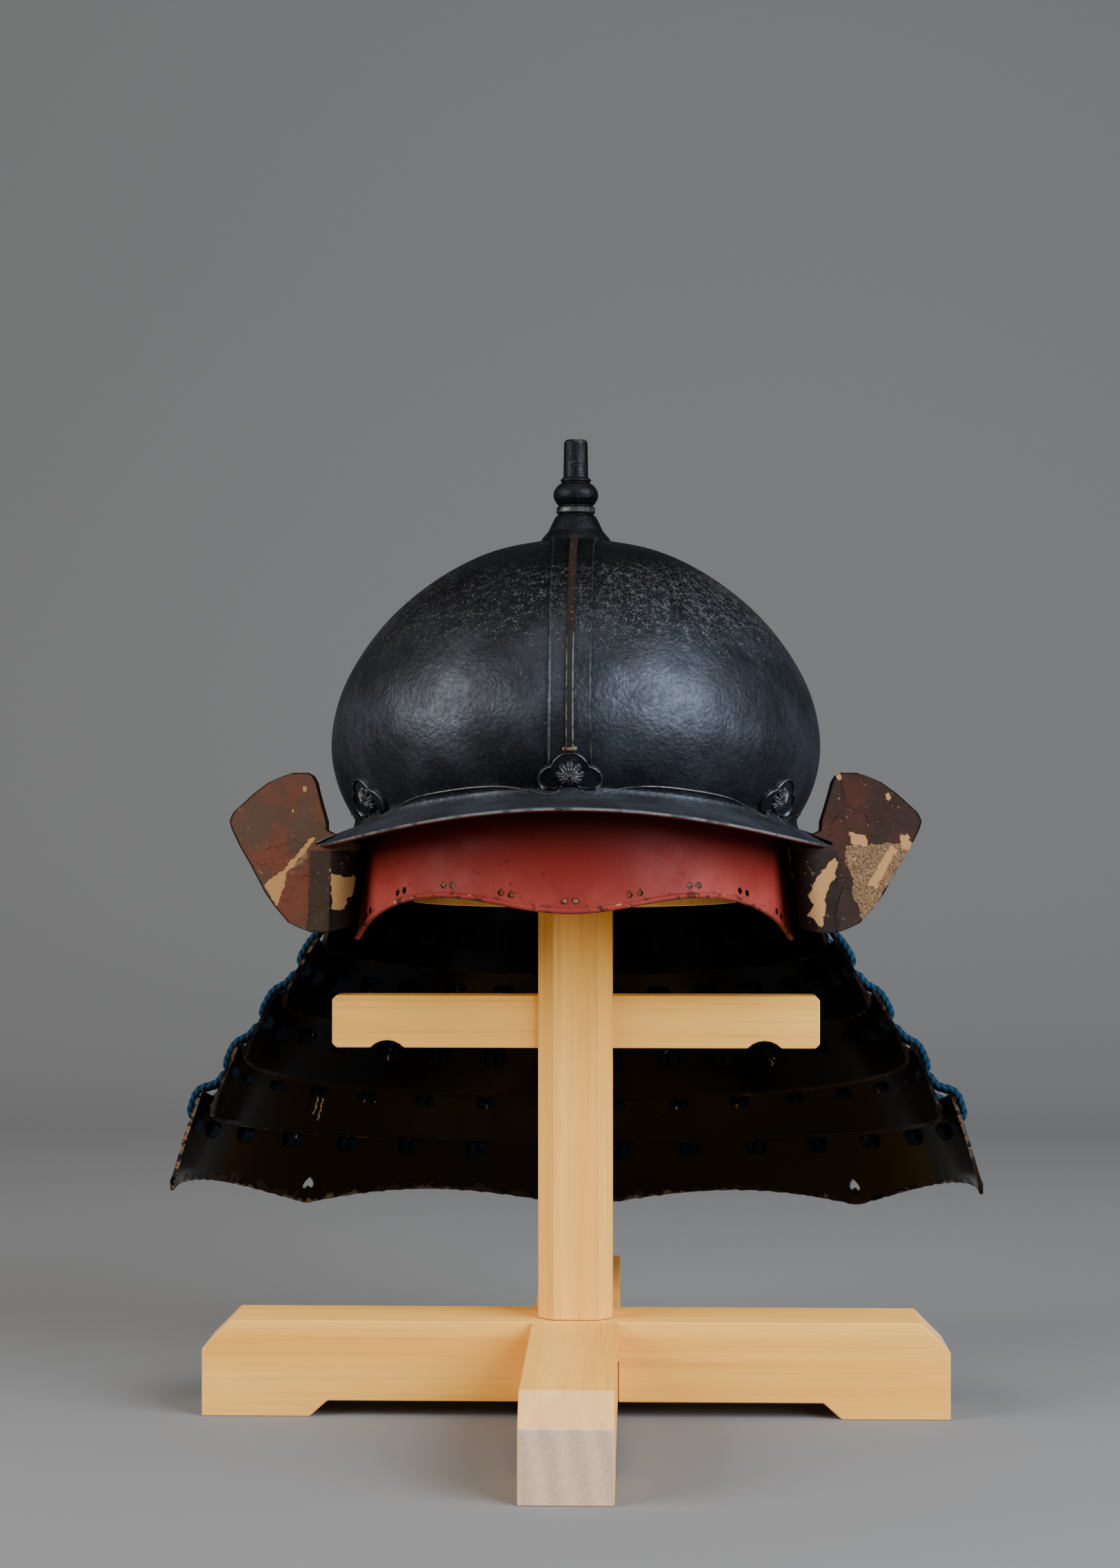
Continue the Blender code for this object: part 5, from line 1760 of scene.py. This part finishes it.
@dataclass
class TurnBacks:
    """The first lame's front ends, folded outward and swept back into broad leather ears."""

    guard: GuardForm
    length: float = 0.0761
    height: float = 0.0725
    lift: float = 0.0079
    wall: float = 0.0025
    radius: float = 0.0070
    sweep: float = math.radians(25)
    seat: float = 0.0003
    clearance: float = 0.0006
    notch_short: float = 0.0065
    outline: tuple[Row, ...] = (
        # level, start, end
        (0.000, 0.184, 0.297), (0.021, 0.114, 0.373), (0.055, 0.000, 0.463), (0.152, 0.000, 0.577),
        (0.234, 0.000, 0.658), (0.400, 0.000, 0.787), (0.524, 0.000, 0.891), (0.634, 0.283, 0.971),
        (0.690, 0.294, 1.000), (0.745, 0.322, 0.982), (0.869, 0.381, 0.853), (0.938, 0.411, 0.760),
        (0.979, 0.445, 0.662), (1.000, 0.491, 0.593),
    )

    @property
    def turns(self) -> tuple[float, float]:
        """Where the fold starts and stops, as turns."""
        return float(self.guard.end(0, 0.5)) - math.pi / 2, math.pi / 2 + self.sweep

    def root(self, height: Array) -> tuple[Array, Array]:
        """Where the ear leaves the first lame's front end at a height, in the middle of its wall."""
        top, foot = (self.guard.on_lame(0, self.guard.end(0, share), share, -self.guard.wall / 2)
                     for share in (0.0, 1.0))
        share = (top[2] - height) / (top[2] - foot[2])
        return mix(top[0], foot[0], share), mix(top[1], foot[1], share)

    def curl(self, distance: Array) -> tuple[Array, Array, Array]:
        """The ear's plan curve: a round fold outward, then a straight run swept back.

        Args:
            distance: Distance along the curve from the root.

        Returns:
            Distance aside, distance ahead, and the turn at each place.
        """
        start, stop = self.turns
        turn = np.minimum(start + distance / self.radius, stop)
        rest = np.maximum(distance - self.radius * (stop - start), 0.0)
        gap = 2 * self.seat
        aside = self.radius * (math.cos(start) - np.cos(turn)) + rest * np.sin(turn) + gap * math.sin(start)
        ahead = self.radius * (math.sin(start) - np.sin(turn)) - rest * np.cos(turn) - gap * math.cos(start)
        return aside, ahead, turn

    def ear(self, side: Side, damage: Damage) -> Body:
        """One ear, notched where the brim's end passes through it.

        Args:
            side: Which side of the helmet.
            damage: Where it is cracked and flaked.

        Returns:
            The object, with the marks panel, flake, rough_patch, crack and border.
        """
        rows = np.array(self.outline)
        level = np.concatenate((np.linspace(0.0, 0.06, 18)[:-1], np.linspace(0.06, 0.94, 104),
                                np.linspace(0.94, 1.0, 18)[1:]))
        start, end = (np.interp(level, rows[:, 0], rows[:, column]) for column in (1, 2))
        end = smoothed(end, 3)
        foot = self.guard.heights(0, self.guard.end_angle)[1] + self.lift
        height = (foot + level * self.height)[:, None]
        share = np.linspace(0.0, 1.0, 84)[None, :]
        distance = self.length * mix(start[:, None], end[:, None], share)
        root_x, root_y = self.root(height)
        aside, ahead, turn = self.curl(distance)
        rim = np.minimum(distance - distance[:, :1], distance[:, -1:] - distance)
        half = self.wall / 2 * np.sqrt(np.clip(1 - (1 - np.clip(rim / 0.0009, 0, 1)) ** 2, 0.08, 1.0))
        faces = []
        for sign in (1, -1):
            x = side.value * (root_x + aside - sign * half * np.cos(turn))
            y = root_y + ahead - sign * half * np.sin(turn)
            faces.append(np.stack(np.broadcast_arrays(x, y, height), axis=-1))
        points = np.concatenate((faces[0], faces[1][:, ::-1]), axis=1)
        ear = Skin(f"turnback_{side.name.lower()}_ear").add(points).build()
        carve(ear, self.notch(side))
        self.mark(ear, damage, rows, foot)
        return ear

    def notch(self, side: Side) -> Body:
        """The prism that the brim fills, short of its very tip, which the leather grips."""
        bowl = self.guard.bowl
        edge = bowl.neck + bowl.brim_side_reach
        top = float(bowl.base(bowl.brim_tip) - bowl.drop(bowl.brim_tip))
        low = top - 0.0020
        slope = bowl.brim_side_drop / (bowl.brim_side_reach - bowl.collar_step)
        inner = bowl.neck - bowl.collar_height
        outer = edge - self.notch_short
        outline = np.array(((inner, low + slope * (edge - inner)), (outer, low + slope * self.notch_short),
                            (outer, top - self.clearance + slope * self.notch_short),
                            (inner, top + self.clearance + slope * (edge - inner))))
        loop = [np.stack((side.value * outline[:, 0], np.full(4, y), outline[:, 1]), axis=1)
                for y in (-self.length, self.length / 2)]
        return Skin("brim_notch").add(np.stack(loop)).build()

    def mark(self, ear: Body, damage: Damage, rows: Array, foot: float) -> None:
        """Write the damage marks on the ear's points, by their distance aside and height.

        Args:
            ear: The object.
            damage: Where it is cracked and flaked.
            rows: The outline's rows.
            foot: Height of the ear's foot.
        """
        mesh = ear.data
        spots = np.empty(len(mesh.vertices) * 3)
        mesh.vertices.foreach_get("co", spots)
        spots = spots.reshape(-1, 3)
        aside, up = np.abs(spots[:, 0]) * 1000, spots[:, 2] * 1000
        nearest = {}
        for mark, areas in (("flake", damage.flakes), ("rough_patch", damage.rough)):
            nearest[mark] = np.min([segment_distance(aside, up, area, True) for area in areas], axis=0)
        discs = np.min([np.hypot(aside - x, up - z) - radius for x, z, radius in damage.spots], axis=0)
        nearest["flake"] = np.minimum(nearest["flake"], discs)
        cracks = [segment_distance(aside, up, line, False) for line in damage.cracks]
        nearest["crack"] = np.min(cracks, axis=0)
        level = (spots[:, 2] - foot) / self.height
        root_x = self.root(spots[:, 2])[0]
        end = np.interp(level, rows[:, 0], rows[:, 2]) * self.length
        start = np.interp(level, rows[:, 0], rows[:, 1]) * self.length
        begin, stop = self.turns
        rest = np.abs(spots[:, 0]) - root_x - self.radius * (math.cos(begin) - math.cos(stop))
        along = self.radius * (stop - begin) + rest / math.sin(stop)
        border = np.minimum(end - along, np.where(level > 0.6, along - start, 0.02))
        border = np.minimum(border, np.minimum(1 - level, level) * self.height + 0.0006)
        nearest["border"] = border * 1000
        for mark, values in nearest.items():
            write_mark(mesh, mark, values / 1000)
        low = up < 266
        panel = np.where(low & (aside < 120.5), 1.0, 0.0) + np.where(low & (aside < 110.5), 1.0, 0.0)
        write_mark(mesh, "panel", panel)

    def dress(self, left: Look, right: Look) -> None:
        """Build both ears in their leather, the right one in a darker copy that paints shade."""
        place(self.ear(Side.LEFT, LEFT_DAMAGE), left, ("turnback_left",), 60)
        place(self.ear(Side.RIGHT, RIGHT_DAMAGE), right, ("turnback_right",), 60)


@dataclass
class Stand:
    """The wooden cross-foot stand, with its edges eased."""

    bevel: float = 0.0006
    grains: tuple[tuple[str, Axis], ...] = (
        # node, grain
        ("stand_beam_x", Axis.X), ("stand_beam_y", Axis.Y), ("stand_post", Axis.Z),
        ("stand_crossbar", Axis.X), ("stand_head", Axis.Z),
    )

    def piece(self, node: str) -> Body:
        """A copy of a CAD piece with its faces joined and its edges rounded."""
        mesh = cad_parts[node].data.copy()
        shape = bmesh.new()
        shape.from_mesh(mesh)
        shape.transform(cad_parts[node].matrix_world)
        bmesh.ops.remove_doubles(shape, verts=shape.verts, dist=1e-5)
        bmesh.ops.dissolve_limit(shape, angle_limit=math.radians(1), verts=shape.verts, edges=shape.edges)
        shape.to_mesh(mesh)
        shape.free()
        mesh.shade_smooth()
        body = new_body(f"{node}_wood", mesh)
        edge = body.modifiers.new("Eased edges", "BEVEL")
        edge.width = self.bevel
        edge.segments = 3
        edge.limit_method = "ANGLE"
        edge.angle_limit = math.radians(30)
        edge.harden_normals = True
        return body

    def dress(self, woods: dict[Axis, Look]) -> None:
        """Build the five pieces in wood whose grain runs along them."""
        for node, axis in self.grains:
            place(self.piece(node), woods[axis], (node,), 30)


@dataclass
class Studio:
    """The floor, the soft lights and the camera."""

    floor_size: float = 6
    sweep: float = 0.9
    distance: float = 1.369
    eye: float = 0.2963
    turn: float = math.radians(1.6)
    aside: float = 0.0075
    lens: float = 66.3
    sensor: float = 36

    def floor(self) -> None:
        """A pale floor that curves up into a backdrop behind the stand."""
        half = self.floor_size / 2
        turn = np.linspace(0.0, math.pi / 2, 24)
        y = np.concatenate(((-half,), 1.1 + self.sweep * np.sin(turn), (1.1 + self.sweep,)))
        z = np.concatenate(((0.0,), self.sweep * (1 - np.cos(turn)), (half,)))
        points = np.stack([np.stack((np.full_like(y, x), y, z), axis=1) for x in (-half, half)])
        mesh = bpy.data.meshes.new("studio_floor")
        mesh.from_pydata(points.reshape(-1, 3).tolist(), [], grid_quads(2, len(y)).tolist())
        mesh.shade_smooth()
        floor = new_body("studio_floor", mesh)
        material = bpy.data.materials.new("studio_paper")
        material.use_nodes = True
        shader = material.node_tree.nodes["Principled BSDF"].inputs
        shader["Base Color"].default_value = (*shade("777675"), 1.0)
        shader["Roughness"].default_value = 0.9
        shader["Specular IOR Level"].default_value = 0.1
        mesh.materials.append(material)

    def light(self, name: str, spot: Row, aim: Row, size: float, power: float, colour: Colour) -> None:
        """A square soft light.

        Args:
            name: Its name.
            spot: Where it stands.
            aim: What it faces.
            size: Its width.
            power: Its power in watts.
            colour: Its colour.
        """
        lamp = bpy.data.lights.new(name, "AREA")
        lamp.size = size
        lamp.energy = power
        lamp.color = colour
        body = new_body(name, lamp)
        body.location = spot
        body.rotation_euler = (Vector(aim) - Vector(spot)).to_track_quat("-Z", "Y").to_euler()

    def lights(self) -> None:
        """A cool soft light at the right front, a weaker one at the left, one overhead and a dim room."""
        self.light("right_softbox", (1.30, -1.00, 1.00), (0.0, 0.0, 0.30), 1.40, 78, (0.82, 0.90, 1.0))
        self.light("left_softbox", (-1.45, -0.75, 0.95), (0.0, 0.0, 0.28), 1.15, 40, (1.0, 0.98, 0.95))
        self.light("top_softbox", (0.0, -0.45, 2.10), (0.0, 0.0, 0.2), 1.0, 7, (1.0, 1.0, 1.0))
        world = bpy.data.worlds.new("studio")
        world.use_nodes = True
        ground = world.node_tree.nodes["Background"].inputs
        ground["Color"].default_value = (0.80, 0.79, 0.78, 1.0)
        ground["Strength"].default_value = 0.34
        bpy.context.scene.world = world

    def camera(self) -> None:
        """A level camera at the photograph's place."""
        lens = bpy.data.cameras.new("photo_camera")
        lens.sensor_fit = "VERTICAL"
        lens.sensor_height = self.sensor
        lens.lens = self.lens
        body = new_body("photo_camera", lens)
        body.location = (self.distance * math.sin(self.turn) - self.aside * math.cos(self.turn),
                         -self.distance * math.cos(self.turn) - self.aside * math.sin(self.turn), self.eye)
        body.rotation_euler = (math.pi / 2, 0.0, self.turn)
        bpy.context.scene.camera = body

    def set_up(self) -> None:
        """Build the floor, the lights and the camera."""
        self.floor()
        self.lights()
        self.camera()


def main() -> None:
    """Build the helmet, the stand and the studio."""
    logging.basicConfig(level=logging.INFO, format="%(name)s %(message)s")
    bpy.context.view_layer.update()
    effects = Effects()
    iron = BlackIron("Black iron", effects).make()
    thread = TanKnot("Tan thread", effects).make()
    bowl = BowlForm()
    guard = GuardForm(bowl)
    Bowl(bowl).dress(iron)
    rust = RustedIron("Rusted iron", effects).make()
    Crown(bowl).dress(iron, rust, DullBrass("Dull brass", effects).make())
    Medallions(bowl).dress(iron)
    plug = TanKnot("Thread end", effects, tan=shade("7d6a4b"), brown=shade("2c1d14"))
    BrowBand(bowl).dress(RedLacquer("Red lacquer", effects).make(), plug.make())
    NeckGuard(guard).dress(BlackLacquer("Black lacquer", effects).make())
    Lacing(guard).dress(BlueCord("Blue cord", effects).make(), thread)
    # The right ear's leather is a darker copy of the left: painted shade, against the strong right softbox.
    right = Leather("Right leather in painted shade", effects, shade("2a1d17"), shade("3d2119"), shade("221814"))
    TurnBacks(guard).dress(Leather("Left leather", effects).make(), right.make())
    Stand().dress({axis: PaleWood(f"Pale wood {axis.name}", effects, axis).make() for axis in Axis})
    Studio().set_up()


if __name__ == "__main__":
    main()
